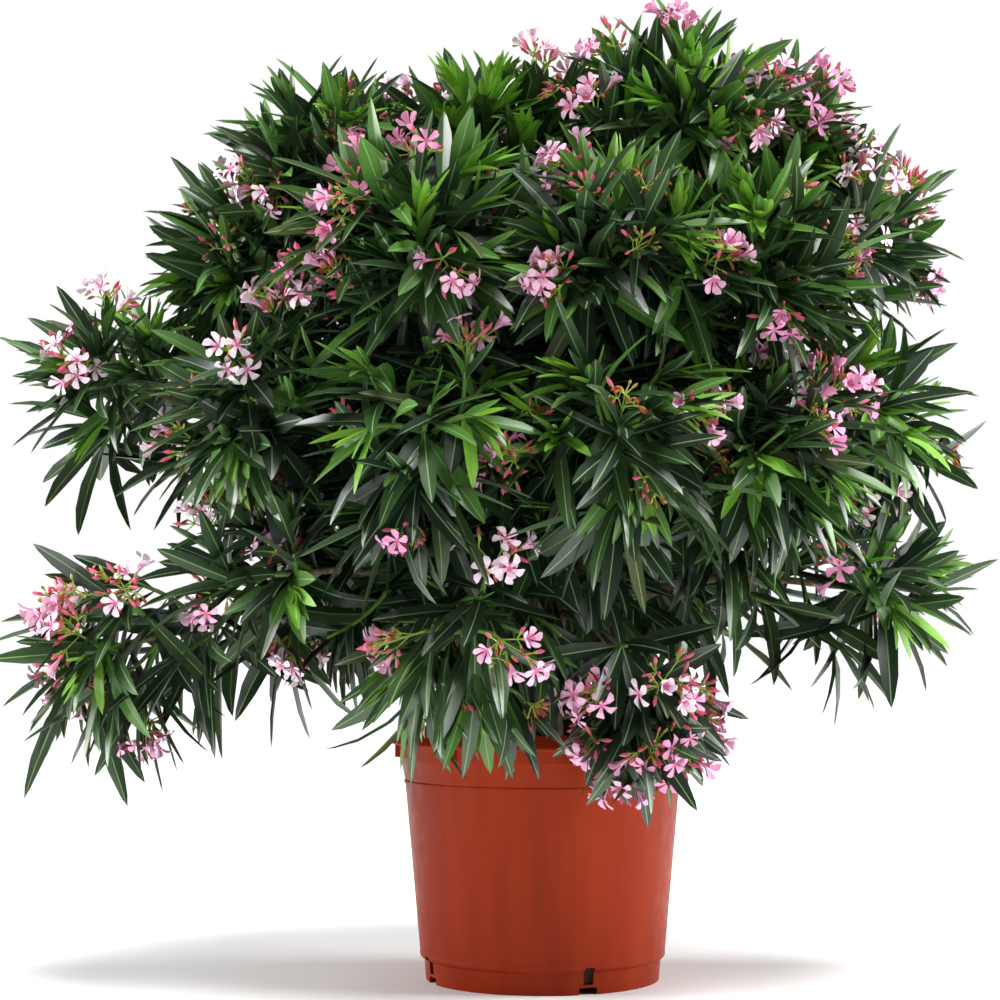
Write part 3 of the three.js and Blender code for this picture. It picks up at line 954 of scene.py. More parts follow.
    def build(self) -> bpy.types.Object:
        """Builds the pot.

        Returns:
            The finished piece.
        """
        shell = self.spin()
        across = (self.foot_radius - self.slot_reach, self.foot_radius + self.slot_reach)
        notch, slot = (self.notch_below, self.plate_under), (self.plate_top, self.slot_top)
        for i in range(self.slots):
            azimuth = self.slot_start + i * 360 / self.slots
            for width, along in ((self.notch_width, notch), (self.slot_width, slot)):
                self.cut(shell, self.block(azimuth, width, across, along, self.slot_rounding))
        ribs = []
        for i in range(self.ribs):
            azimuth = self.rib_start + i * 360 / self.ribs
            rib = self.block(azimuth, self.rib_width, self.rib_across, self.rib_along, self.rib_rounding)
            ribs.append(rib)
        select_only(shell)
        for rib in ribs:
            rib.select_set(True)
        bpy.ops.object.join()
        bpy.ops.object.shade_smooth_by_angle(angle=math.radians(self.sharp))
        shell.data.materials.clear()
        shell.data.materials.append(PLASTIC.make())
        return shell


@dataclass
class PottingMix:
    """The filled inside of the pot, with an uneven surface and chips of bark on it."""

    top: float = 300.0
    edge: float = 292.0
    level: float = 105.0  # the surface sinks towards the wall from this far out
    sinks_over: float = 80.0
    gap: float = 0.36  # to the wall
    rings: int = 26
    sides: int = 96
    unevenness: float = 3.0
    # Turn for each millimetre along X and Y, phase and height of each wave of the surface.
    waves: tuple[tuple[float, float, float, float], ...] = (
        (0.045, 0.02, 0.3, 0.4),
        (-0.03, 0.06, 1.9, 0.35),
        (0.11, -0.08, 4.0, 0.2),
        (0.17, 0.21, 2.2, 0.12),
    )
    chips: int = 900
    chip_corners: int = 5
    chip_length: float = 15.0
    chip_sizes: tuple[float, float] = (0.4, 1.2)  # shares of that length
    chip_widths: tuple[float, float] = (0.18, 0.35)  # half the width, as a share of the length
    chip_uneven: tuple[float, float] = (0.75, 1.2)  # how far out corners are, as shares
    chip_thick: tuple[float, float] = (1.2, 3.0)
    chip_taper: float = 0.86  # width of the upper side, as a share of the lower
    chip_below: float = 0.5  # how far the middle stands out below
    chip_above: float = 1.1  # its height above, as a share of the thickness
    chip_edge: float = 12.0  # chips keep this far from the wall
    chip_tilt: float = 0.25  # usual tilt, in radians
    chip_sunk: float = 0.4
    seed: int = 5
    sharp: float = 50.0  # degrees, past which an edge shows

    def surface(self, x: Array, y: Array) -> Array:
        """Works out the height of the surface.

        Args:
            x: Places on it to the right.
            y: Places on it to the back.

        Returns:
            The heights there.
        """
        sunk = np.clip((np.hypot(x, y) - self.level) / self.sinks_over, 0, 1)
        base = self.top + (self.edge - self.top) * sunk**2
        waves = sum(np.sin(x * fx + y * fy + phase) * size for fx, fy, phase, size in self.waves)
        return base + waves * self.unevenness

    def build(self, pot: NurseryPot) -> bpy.types.Object:
        """Builds the block of mix, its surface and its chips as one piece.

        Args:
            pot: The pot it fills.

        Returns:
            The finished piece.
        """
        sheaf = Sheaf()
        turn = np.arange(self.sides) / self.sides * FULL_TURN
        spoke = np.stack([np.cos(turn), np.sin(turn), np.zeros(self.sides)], 1)
        wall = [(radius - self.gap, height) for radius, height in pot.inside]
        wall[0] = (wall[0][0], wall[0][1] + self.gap)
        rows = [spoke * radius + UP * height for radius, height in wall]
        widest = wall[-1][0]
        for i in range(self.rings):
            radius = widest * (1 - i / self.rings)
            flat = spoke * radius
            flat[:, 2] = self.surface(flat[:, 0], flat[:, 1])
            rows.append(flat)
        shell = np.concatenate(rows)
        low, high = np.array([[0, 0, wall[0][1]]]), np.array([[0, 0, self.surface(0.0, 0.0)]])
        near = ring_fan(self.sides, 0, len(shell), False)
        far = ring_fan(self.sides, (len(rows) - 1) * self.sides, len(shell) + 1, True)
        faces = [(ring_quads(self.sides, len(rows)), 0), (np.concatenate([near, far]), 0)]
        sheaf.add(np.concatenate([shell, low, high]), faces)
        self.scatter(sheaf, widest)
        return sheaf.build("potting_mix_fill", [MIX.make(), CHIP.make()], self.sharp)

    def scatter(self, sheaf: Sheaf, widest: float) -> None:
        """Scatters flat, broken chips of bark over the surface.

        Args:
            sheaf: What they are added to.
            widest: The surface's radius.
        """
        random = np.random.default_rng(self.seed)
        corners = self.chip_corners
        ring = ring_quads(corners, 2)
        near = ring_fan(corners, 0, 2 * corners, False)
        far = ring_fan(corners, corners, 2 * corners + 1, True)
        fans = np.concatenate([near, far])
        turn = np.arange(corners) / corners * FULL_TURN
        for _ in range(self.chips):
            distance = (widest - self.chip_edge) * math.sqrt(random.random())
            azimuth = random.random() * FULL_TURN
            length = self.chip_length * random.uniform(*self.chip_sizes)
            aside = np.sin(turn) * length * random.uniform(*self.chip_widths)
            outline = np.stack([np.cos(turn) * length / 2, aside], 1)
            outline *= random.uniform(*self.chip_uneven, (corners, 1))
            thick = random.uniform(*self.chip_thick)
            lower = np.column_stack([outline, np.zeros(corners)])
            upper = np.column_stack([outline * self.chip_taper, np.full(corners, thick)])
            poles = [[0, 0, -self.chip_below], [0, 0, thick * self.chip_above]]
            points = np.concatenate([lower, upper, poles])
            yaw, tilt = random.random() * FULL_TURN, random.normal(0, self.chip_tilt)
            cosine, sine = math.cos(tilt), math.sin(tilt)
            points = points @ np.array([[1, 0, 0], [0, cosine, sine], [0, -sine, cosine]])
            cosine, sine = math.cos(yaw), math.sin(yaw)
            points = points @ np.array([[cosine, sine, 0], [-sine, cosine, 0], [0, 0, 1]])
            x, y = distance * math.cos(azimuth), distance * math.sin(azimuth)
            height = float(self.surface(np.float64(x), np.float64(y))) - self.chip_sunk
            sheaf.add(points + np.array([x, y, height]), [(ring, 1), (fans, 1)])


# ------------ limbs


@dataclass
class Limbs:
    """Stems and boughs, with the relief of their bark."""

    base: float = 300.3
    sunk: float = 10.0  # how deep the feet go into the mix
    step: float = 5.0  # between rings
    least_rings: int = 12
    sides: int = 18
    ridge: float = 0.025  # share of the radius
    # How many ridges run round a limb, and how far along it they go while they wander once round.
    ridges: tuple[tuple[int, int], ...] = ((3, 60), (4, -45), (5, 28), (7, -20))
    scar: float = 0.07  # share of the radius
    scar_apart: float = 34.0  # between old leaf scars
    scar_at: float = 3.0
    scar_width: float = 5.0  # square of the width
    sharp: float = 60.0  # degrees, past which an edge shows
    limbs: dict[str, Limb] = field(default_factory=dict)

    def route(self, start: Array, leave: Array, mass: Mass, form: LimbForm) -> Bezier:
        """Works out a limb's centreline.

        Args:
            start: Where it starts.
            leave: The way it sets out.
            mass: The mass it ends in.
            form: Its kind.

        Returns:
            The curve from its start to the mass's entry.
        """
        length = float(np.linalg.norm(mass.entry - start))
        out = start + leave * form.rise * length
        back = mass.entry - mass.heading * form.arrive * length
        return Bezier(np.array([start, out, back, mass.entry]))

    def grow(self) -> None:
        """Works out every stem and bough."""
        for name, (distance, azimuth) in STEMS.items():
            angle = math.radians(azimuth)
            foot = np.array([distance * math.cos(angle), distance * math.sin(angle), self.base])
            self.limbs[name] = Limb(STEM_FORM, self.route(foot, UP, MASSES[name], STEM_FORM))
        for name, (parent, at) in BOUGHS.items():
            curve = self.limbs[parent].curve
            start = curve.point(at)
            leave = unit(curve.tangent(at) + unit(MASSES[name].entry - start))
            self.limbs[name] = Limb(BOUGH_FORM, self.route(start, leave, MASSES[name], BOUGH_FORM))

    def relief(self, limb: Limb, rings: int, length: float, seed: int) -> Array:
        """Works out the bark's relief: long ridges that wander, and rings of leaf scars.

        Args:
            limb: The limb.
            rings: Rings along it.
            length: Its length.
            seed: Of the ridges' places.

        Returns:
            A radius for each point of each ring.
        """
        random = np.random.default_rng(seed)
        t = np.linspace(0, 1, rings)[:, None]
        turn = np.arange(self.sides)[None] / self.sides * FULL_TURN
        ridges = sum(
            np.sin(turn * around + t * length / wander + random.random() * FULL_TURN) / around**0.5
            for around, wander in self.ridges
        )
        past = (t * length) % self.scar_apart - self.scar_at
        scars = np.exp(-(past**2) / self.scar_width)
        return limb.form.radius(t) * (1 + self.ridge * ridges + self.scar * scars)

    def build(self, names: Iterable[str], piece: str) -> bpy.types.Object:
        """Builds one piece of several limbs.

        Args:
            names: The limbs.
            piece: The piece's name.

        Returns:
            The finished piece.
        """
        sheaf = Sheaf()
        for name in names:
            limb = self.limbs[name]
            length = limb.curve.length()
            rings = max(self.least_rings, round(length / self.step))
            curve = limb.curve
            if limb.form is STEM_FORM:
                controls = curve.controls.copy()
                controls[0] = controls[0] - UP * self.sunk
                curve = Bezier(controls)
            tube(sheaf, curve, self.relief(limb, rings, length, SEEDS[name]), self.sides)
        return sheaf.build(piece, [BARK.make()], self.sharp)


# ------------ the crown's shoots


@dataclass
class Crown:
    """The seeded rule: twigs fan out from each mass's leader, and finer shoots go on from them."""

    past: float = 0.3  # how far a leader goes past its mass's centre
    bend: float = 0.5  # how far it keeps the limb's way
    # Coarse twigs, by the same numbers as in the solids.
    apart: float = 62.0  # one for so much of the half-extents
    widest: float = -0.1  # cosine of the widest angle between a tip and the heading
    depth: float = 0.12  # how far tips lie within the half-extents
    first: float = 0.2  # where on the leader the lowest starts
    further: float = 0.7  # how much further on the one along the heading starts
    belly: float = 0.55  # where along a twig it bends
    ahead: float = 0.16  # how far it bulges along the heading
    arch: float = 0.14  # how far it arches up
    hang: float = 0.2  # what droop takes from that
    # Finer shoots.
    fine_apart: float = 23.0
    fine_out: float = 1.1
    fine_depth: float = 0.4
    climb: float = 1.0  # how much a finer shoot would rather start below its tip
    above: float = 40.0  # by which it may start higher at no cost
    turn_cost: float = 0.6  # how much it would rather go on along what bears it
    least: float = 75.0  # its least length
    least_cost: float = 200.0  # of a shorter one
    lift: float = 0.52  # how far the end of a finer shoot turns up
    sink: float = 0.7  # what droop takes from that
    follow: float = 0.3  # how far it keeps to the way of what bears it
    belly_fine: float = 0.25  # where along its chord it bends
    swerve: float = 0.2  # how far it wanders aside
    upturn: float = 0.55  # how far the ends of sinking shoots turn up again
    limp: float = 2.0  # what droop takes from that
    bare_below: float = 0.7  # share of the shoots that are left out straight below a mass
    overlap: float = 26.0  # how far fine tips may reach into a neighbour's space
    flowering: float = 0.45  # share in flower where a mass blooms fully
    budded: float = 0.27  # share in bud
    # Side shoots along the limbs.
    inner_apart: float = 34.0
    inner_length: float = 115.0
    inner_sizes: tuple[float, float] = (0.65, 0.6)  # least share of that length, and what chance adds
    inner_leave: float = 0.3  # how far they set out along the limb
    inner_along: float = 0.75  # how far their tips lie along it
    inner_floor: float = 400.0  # the lowest tip of a side shoot
    inner_on_stem: float = 0.34  # where on a stem the first one is
    inner_on_bough: float = 0.22
    inner_last: float = 0.97
    # The space of the pot, which all keep out of.
    pot_radius: float = 199.5
    pot_height: float = 327.0
    pot_clear: float = 8.0
    ground_clear: float = 60.0
    # Radii of leaders, twigs and finer shoots, with their rings and sides.
    leader_tip: float = 3.6
    leader_rings: int = 8
    leader_sides: int = 8
    twig: tuple[float, float] = (4.6, 3.0)
    fine_twig: tuple[float, float] = (3.5, 2.6)
    twig_rings: int = 7
    twig_sides: int = 6
    sharp: float = 70.0  # degrees, past which an edge shows
    shoots: list[Shoot] = field(default_factory=list)
    leaders: list[tuple[Limb, Bezier]] = field(default_factory=list)

    PATH: ClassVar[Array] = np.linspace(0, 1, 8)  # where a shoot is tested against the pot
    BEARING: ClassVar[Array] = np.linspace(0.12, 0.8, 9)  # where on a twig finer shoots may start
    # What tells the seeds of the three kinds of shoots apart, and those of the numbers that place them.
    COARSE_SEED: ClassVar[int] = 100
    FINE_SEED: ClassVar[int] = 1000
    INNER_SEED: ClassVar[int] = 3000
    FINE_PLACES: ClassVar[int] = 7
    INNER_PLACES: ClassVar[int] = 13

    def leader(self, limb: Limb, mass: Mass) -> Bezier:
        """Goes on from a limb's tip to just past its mass's centre.

        Args:
            limb: The limb.
            mass: The mass.

        Returns:
            The leader's curve.
        """
        tangent = limb.curve.tangent(1.0)
        start = limb.curve.point(1.0)
        end = mass.centre + mass.heading * self.past * min(mass.reach)
        control = start + tangent * self.bend * np.linalg.norm(end - start)
        return Bezier(np.array([start, control, end]))

    def rays(self, mass: Mass, phase: float, count: int, widest: float) -> list[tuple[float, Array]]:
        """Spreads directions over a cap round a mass's heading.

        Args:
            mass: The mass.
            phase: Turn of the first direction.
            count: How many there are.
            widest: Cosine of the widest angle from the heading.

        Returns:
            Pairs of the angle's cosine and the direction.
        """
        across = perpendicular(mass.heading)
        beyond = np.cross(mass.heading, across)
        rays = []
        for k in range(count):
            cosine = 1 - ((k + 0.5) / count) * (1 - widest)
            sine = math.sqrt(1 - cosine * cosine)
            turn = phase + k * GOLDEN
            ray = mass.heading * cosine + (across * math.cos(turn) + beyond * math.sin(turn)) * sine
            rays.append((cosine, ray))
        return rays

    def clear_of_pot(self, curve: Bezier) -> bool:
        """Tests a shoot against the pot and the floor.

        Args:
            curve: The shoot's curve.

        Returns:
            True if no point of it is in or close to them.
        """
        points = curve.point(self.PATH)
        beside = np.hypot(points[:, 0], points[:, 1]) > self.pot_radius + self.pot_clear
        over = points[:, 2] > self.pot_height + self.pot_clear
        return bool(np.all(over | ((points[:, 2] > self.ground_clear) & beside)))

    def in_space(self, mass: Mass, point: Array) -> bool:
        """Tests a point against the space of the other masses.

        Args:
            mass: The mass that it belongs to.
            point: The point.

        Returns:
            True if it isn't further in a neighbour's space than it may be.
        """
        own = float(np.sum((point - mass.centre) ** 2)) - max(mass.reach) ** 2
        for other in MASSES.values():
            if other is mass:
                continue
            theirs = float(np.sum((point - other.centre) ** 2)) - max(other.reach) ** 2
            if (theirs - own) / (2 * float(np.linalg.norm(mass.centre - other.centre))) < -self.overlap:
                return False
        return True

    def grow(self, limbs: dict[str, Limb]) -> None:
        """Grows the shoots of every mass.

        Args:
            limbs: The limb of each mass.
        """
        for name, mass in MASSES.items():
            leader = self.leader(limbs[name], mass)
            self.leaders.append((limbs[name], leader))
            coarse = self.coarse(name, mass, leader)
            self.shoots.extend(coarse)
            self.shoots.extend(self.fine(name, mass, leader, coarse))
        self.inner(limbs)

    def coarse(self, name: str, mass: Mass, leader: Bezier) -> list[Shoot]:
        """Grows a mass's coarse twigs, as the solids have them.

        Args:
            name: The mass's name.
            mass: The mass.
            leader: The curve that carries them.

        Returns:
            The twigs that keep clear of the pot.
        """
        random = Seeded(SEEDS[name])
        phase = random() * FULL_TURN
        count = round(float(np.sum(mass.half)) / self.apart)
        shoots = []
        for k, (cosine, ray) in enumerate(self.rays(mass, phase, count, self.widest)):
            tip = mass.centre + ray * mass.half * (1 - self.depth * random())
            share = self.first + self.further * max(0.0, cosine)
            start = leader.controls[0] + (leader.controls[2] - leader.controls[0]) * share
            length = float(np.linalg.norm(tip - start))
            control = start + (tip - start) * self.belly + mass.heading * self.ahead * length
            control = control + UP * (self.arch - self.hang * mass.droop) * length
            kind = Kind.FLOWERING if random() < mass.bloom else Kind.YOUNG
            curve = Bezier(np.array([start, control, tip]))
            if self.clear_of_pot(curve):
                shoots.append(Shoot(curve, mass, kind, SEEDS[name] * self.COARSE_SEED + k, bearer=True))
        return shoots

    def fine(self, name: str, mass: Mass, leader: Bezier, coarse: list[Shoot]) -> list[Shoot]:
        """Carries the rule on to finer shoots, each from the nearest place on a twig or the leader.

        Args:
            name: The mass's name.
            mass: The mass.
            leader: Its leader.
            coarse: Its coarse twigs.

        Returns:
            The finer shoots.
        """
        random = Seeded(SEEDS[name] + self.FINE_PLACES)
        phase = random() * FULL_TURN
        count = round(mass.full * float(np.sum(mass.half)) / self.fine_apart)
        bearers = [leader, *(shoot.curve for shoot in coarse)]
        places = np.concatenate([curve.point(self.BEARING) for curve in bearers])
        ways = np.concatenate([curve.tangent(self.BEARING) for curve in bearers])
        shoots = []
        for k, (_, ray) in enumerate(self.rays(mass, phase, count, mass.widest)):
            tip = mass.centre + ray * mass.half * (self.fine_out - self.fine_depth * random())
            tip = tip + np.array([mass.lean[0], 0.0, mass.lean[1]])
            draw, young, fewer, turn = random(), random(), random(), random() * FULL_TURN
            span = tip - places
            reach = np.linalg.norm(span, axis=1)
            facing = np.sum(unit(span) * ways, axis=1)
            cost = reach * (1 + self.turn_cost - self.turn_cost * facing)
            cost = cost + np.where(reach < self.least, self.least_cost, 0)
            cost = cost + self.climb * np.clip(places[:, 2] - tip[2] + self.above, 0, None)
            best = int(np.argmin(cost))
            start, way, length = places[best], ways[best], reach[best]
            control = start + way * self.follow * length + (tip - start) * self.belly_fine
            control = control - UP * (self.lift - self.sink * mass.droop) * length
            aside = perpendicular(unit(span[best]))
            swerve = aside * math.cos(turn) + np.cross(unit(span[best]), aside) * math.sin(turn)
            control = control + swerve * self.swerve * length
            sinking = max(0.0, -float(ray[2])) * max(0.0, 1 - self.limp * mass.droop)
            control = control - UP * self.upturn * sinking * length
            if fewer < self.bare_below * sinking:
                continue
            curve = Bezier(np.array([start, control, tip]))
            if not self.in_space(mass, tip) or not self.clear_of_pot(curve):
                continue
            flowering = mass.bloom * mass.crowd * self.flowering
            if draw < flowering:
                kind = Kind.FLOWERING
            elif draw < flowering + self.budded:
                kind = Kind.BUDDED
            else:
                kind = Kind.YOUNG if young < mass.young else Kind.LEAFY
            shoots.append(Shoot(curve, mass, kind, SEEDS[name] * self.FINE_SEED + k))
        return shoots

    def inner(self, limbs: dict[str, Limb]) -> None:
        """Grows the leafy side shoots that fill the crown along its limbs.

        Args:
            limbs: All limbs.
        """
        least, more = self.inner_sizes
        for name, limb in limbs.items():
            random = Seeded(SEEDS[name] + self.INNER_PLACES)
            length = limb.curve.length()
            first = self.inner_on_stem if limb.form is STEM_FORM else self.inner_on_bough
            places = np.arange(first, self.inner_last, self.inner_apart / length)
            turn = random() * FULL_TURN
            for k, at in enumerate(places):
                tangent, normal, binormal = (v[0] for v in limb.curve.frames(np.array([at])))
                turn += GOLDEN
                out = normal * math.cos(turn) + binormal * math.sin(turn)
                start = limb.curve.point(at)
                long = self.inner_length * (least + more * random())
                tip = start + unit(out + tangent * self.inner_along) * long
                control = start + unit(out + tangent * self.inner_leave) * long * 0.5
                curve = Bezier(np.array([start, control, tip]))
                if self.clear_of_pot(curve) and tip[2] > self.inner_floor:
                    seed = SEEDS[name] * self.INNER_SEED + k
                    self.shoots.append(Shoot(curve, MASSES[name], Kind.INNER, seed))

    def build(self) -> bpy.types.Object:
        """Builds the leaders and twigs as one piece.

        Returns:
            The finished piece.
        """
        sheaf = Sheaf()
        for limb, leader in self.leaders:
            radii = np.linspace(float(limb.form.tip), self.leader_tip, self.leader_rings)
            tube(sheaf, leader, radii, self.leader_sides, 0)
        for shoot in self.shoots:
            foot, tip = self.twig if shoot.bearer else self.fine_twig
            tube(sheaf, shoot.curve, np.linspace(foot, tip, self.twig_rings), self.twig_sides, 1)
        return sheaf.build("twigs", [BARK.make(), SHOOT.make()], self.sharp)


# ------------ leaves


class Blade(Enum):
    """Slots of a piece of leaves."""

    AGED = 0
    DARK = 1
    MIDDLE = 2
    FRESH = 3
    YOUNG = 4
    UNDER = 5
    RIB = 6


@dataclass(frozen=True)
class Whorl:
    """How the leaves of a whorl stand: its distance from the tip, and their angle, length, width and bend."""

    back: float
    angle: float
    length: float
    width: float
    bend: float


WHORLS = (
    Whorl(-3, 7, 0.36, 0.4, 4),
    Whorl(1, 14, 0.52, 0.52, 6),
    Whorl(8, 23, 0.72, 0.72, 10),
    Whorl(19, 33, 0.92, 0.9, 14),
    Whorl(36, 43, 1.02, 1.0, 20),
    Whorl(57, 51, 1.06, 1.05, 26),
    Whorl(83, 59, 1.04, 1.08, 30),
    Whorl(113, 66, 0.98, 1.06, 34),
)
TUFT = (
    Whorl(0, 6, 0.38, 0.4, 4),
    Whorl(5, 12, 0.5, 0.5, 5),
    Whorl(13, 19, 0.62, 0.6, 8),
    Whorl(23, 27, 0.74, 0.72, 12),
    Whorl(41, 38, 0.94, 0.95, 18),
    Whorl(61, 47, 1.04, 1.04, 24),
    Whorl(85, 55, 1.06, 1.08, 30),
    Whorl(113, 62, 0.98, 1.06, 34),
)


@dataclass
class LeafRow:
    """One leaf: its root, direction, upper side and measures."""

    root: Array
    way: Array
    face: Array
    length: float
    width: float
    bend: float
    sway: float
    tone: int


@dataclass
class Leaves:
    """All leaves: lance-shaped, folded along a pale midrib, in whorls of three."""

    # The blade.
    length: float = 132.0
    width: float = 24.5
    rib: float = 1.5  # width of the midrib
    rib_rise: float = 0.1
    rib_most: float = 0.5  # share of half the width
    fold: float = 0.24  # how far the edges rise, as a share of half the width
    keel: float = 1.1  # how far the midrib stands out below
    wave: float = 1.0  # height of the edges' ripple
    wave_turn: float = 2.1  # by which it goes on from ring to ring
    wave_shift: float = 7.0  # by which it differs, for each millimetre of a leaf's length
    straight: float = 0.02  # the least bend
    # Rings along the blade as pairs of a place and a share of the width.
    rings: tuple[tuple[float, float], ...] = (
        (0.035, 0.16),
        (0.2, 0.68),
        (0.47, 1.0),
        (0.73, 0.84),
        (0.92, 0.38),
    )
    sharp: float = 55.0  # degrees, past which an edge shows
    # How many there are. Lengths of leaves here and below are shares of the full one.
    each: int = 3  # in a whorl
    lost: float = 0.07  # share that has fallen
    kept: float = 0.3  # share of the rest that a mass with no finer shoots would keep
    bare_foot: float = 8.0
    under_bloom: float = 0.6  # shoots in bud or flower have only leaves longer than this
    inside: float = 0.8  # and side shoots within the crown only those longer than this
    # Old whorls of a bearer: where they start, how far apart they are, and how far they keep from its foot.
    old: Whorl = Whorl(142, 68, 0.95, 1.05, 30)
    old_apart: float = 27.0
    old_foot: float = 18.0
    # How they stand. Angles are in degrees, and turns about a shoot in radians.
    unaligned: float = 0.12  # usual turn of a whorl from its place
    scattered: float = 0.3  # usual turn of a leaf from its place
    upright: float = 0.79  # share of its whorl's angle that a leaf without droop has
    spreading: float = 0.58  # what full droop adds
    stray: float = 15.0  # usual difference in angle and bend
    stray_most: float = 26.0
    bend_range: tuple[float, float] = (-22.0, 30.0)
    sag_range: tuple[float, float] = (0.75, 1.35)
    sag: tuple[float, float] = (0.2, 1.1)  # of the shortest, and what length adds
    bow: float = 1.2  # how far droop brings down leaves that point up
    face_up: float = 0.45  # how far upper sides face up
    face_out: float = 0.4  # and out of the crown
    grown_range: tuple[float, float] = (0.88, 1.08)  # length of a shoot's leaves
    length_range: tuple[float, float] = (0.78, 1.1)
    width_range: tuple[float, float] = (0.82, 1.1)
    sway: float = 0.055  # usual curve to one side, as a share of the length
    # Their colours.
    dark: float = 0.9  # share of shoots with dark leaves
    dark_young: float = 0.5  # what a mass's share of young shoots takes from that
    shade: float = 650.0  # leaves are fresher from this height up
    shade_over: float = 500.0
    tender: float = 0.65  # length of the longest that is always young
    half_grown: float = 0.95
    nearly_young: tuple[float, float, float] = (0.8, 0.25, 0.5)  # longest, share, and what height adds
    middling: float = 0.12  # share of the middle colour among grown leaves
    ageing: float = 0.95  # the rest is ageing where it stands low enough
    low: float = 50.0  # distances from a shoot's tip
    high: float = 60.0
    lowest: float = 70.0
    fresh: float = 0.5  # share of fresh leaves near a tip at the top of the crown
    # Where they are tested against the pot, and its space.
    tested: tuple[float, ...] = (0.35, 0.7, 1.0)
    pot_radius: float = 206.0
    pot_height: float = 334.0

    def whorls(self, shoot: Shoot, length: float) -> list[Whorl]:
        """Picks the whorls that a kind of shoot has.

        Args:
            shoot: The shoot.
            length: Its length.

        Returns:
            The whorls above its bare foot, from its tip down.
        """
        if shoot.kind is Kind.INNER:
            whorls = [whorl for whorl in WHORLS if whorl.length > self.inside]
        elif shoot.kind in (Kind.FLOWERING, Kind.BUDDED):
            whorls = [whorl for whorl in WHORLS if whorl.length > self.under_bloom]
        else:
            whorls = list(TUFT if shoot.kind is Kind.YOUNG else WHORLS)
        if shoot.bearer:
            places = np.arange(self.old.back, length - self.old_foot, self.old_apart)
            whorls += [replace(self.old, back=back) for back in places]
        return [whorl for whorl in whorls if whorl.back <= length - self.bare_foot]

    def on_shoot(self, shoot: Shoot) -> list[LeafRow]:
        """Sets the whorls of one shoot.

        Args:
            shoot: The shoot.

        Returns:
            Its leaves.
        """
        random = np.random.default_rng(shoot.seed)
        mass, length = shoot.mass, shoot.curve.length()
        grown = random.uniform(*self.grown_range)
        spiral = random.random() * FULL_TURN
        dark = self.dark - self.dark_young * mass.young
        body = random.choice([Blade.DARK, Blade.MIDDLE], p=[dark, 1 - dark])
        if shoot.kind is Kind.INNER:
            body = Blade.DARK
        missing = 1 - (1 - self.lost) * (self.kept + (1 - self.kept) * mass.full)
        leaves = []
        for whorl in self.whorls(shoot, length):
            at = 1 - whorl.back / length
            tangent, normal, binormal = (v[0] for v in shoot.curve.frames(np.array([at])))
            root = shoot.curve.point(at)
            spiral += math.pi / self.each + random.normal(0, self.unaligned)
            for i in range(self.each):
                if random.random() < missing:
                    continue
                turn = spiral + i * FULL_TURN / self.each + random.normal(0, self.scattered)
                stray = float(np.clip(random.normal(0, self.stray), -self.stray_most, self.stray_most))
                angle = math.radians(whorl.angle * (self.upright + self.spreading * mass.droop) + stray)
                sag = mass.droop * random.uniform(*self.sag_range)
                outward = normal * math.cos(turn) + binormal * math.sin(turn)
                fall = UP * sag * (self.sag[0] + self.sag[1] * min(1.0, whorl.length))
                way = unit(tangent * math.cos(angle) + outward * math.sin(angle) - fall)
                way = unit(way - UP * max(0.0, float(way[2])) * self.bow * mass.droop)
                face = square_to(tangent + UP * self.face_up + mass.heading * self.face_out, way)
                size = self.length * whorl.length * mass.leaf * grown * random.uniform(*self.length_range)
                wide = self.width * whorl.width * random.uniform(*self.width_range)
                stray = float(np.clip(random.normal(0, self.stray), *self.bend_range))
                bend = math.radians(whorl.bend + stray)
                tone = self.tone(shoot, whorl, body, random)
                sway = random.normal(0, self.sway)
                leaves.append(LeafRow(root, way, face, size, wide, bend, sway, tone.value))
        return leaves

    def tone(self, shoot: Shoot, whorl: Whorl, body: Blade, random: np.random.Generator) -> Blade:
        """Picks a leaf's colour: young at the tip, old at the foot.

        Args:
            shoot: Its shoot.
            whorl: Its whorl.
            body: The colour of the shoot's grown leaves.
            random: The shoot's generator.

        Returns:
            The slot of its upper side.
        """
        height = min(1.0, max(0.0, (shoot.curve.controls[-1][2] - self.shade) / self.shade_over))
        young = shoot.kind is Kind.YOUNG
        if whorl.length < self.tender:
            return Blade.YOUNG if young else Blade.FRESH
        draw = random.random()
        if whorl.length < self.half_grown and young:
            longest, share, more = self.nearly_young
            return Blade.YOUNG if draw < share + height * more and whorl.length < longest else Blade.FRESH
        if draw < self.middling:
            return Blade.MIDDLE
        if draw > self.ageing and whorl.back > self.low:
            return Blade.AGED
        if whorl.back < self.high and random.random() < height * self.fresh:
            return Blade.FRESH
        return Blade.DARK if whorl.back > self.lowest else body

    def clear(self, leaves: list[LeafRow]) -> list[LeafRow]:
        """Leaves out the leaves that would run into the pot.

        Args:
            leaves: The leaves of a piece.

        Returns:
            Those that keep clear of it.
        """
        kept = []
        for leaf in leaves:
            for share in self.tested:
                point = leaf.root + leaf.way * leaf.length * share
                point = point - leaf.face * leaf.length * 0.5 * leaf.bend * share**2
                if math.hypot(point[0], point[1]) < self.pot_radius and point[2] < self.pot_height:
                    break
            else:
                kept.append(leaf)
        return kept

    def build(
        self, name: str, leaves: list[LeafRow], materials: Sequence[bpy.types.Material]
    ) -> bpy.types.Object:
        """Builds one piece of many leaves, each a thin closed blade.

        Args:
            name: The piece's name.
            leaves: Its leaves.
            materials: One for each slot of Blade.

        Returns:
            The finished piece.
        """
        root, way, face, length, width, bend, sway, tone = (
            np.array([getattr(leaf, key.name) for leaf in leaves]) for key in fields(LeafRow)
        )
        side = np.cross(face, way)
        bend = np.where(np.abs(bend) < self.straight, self.straight, bend)

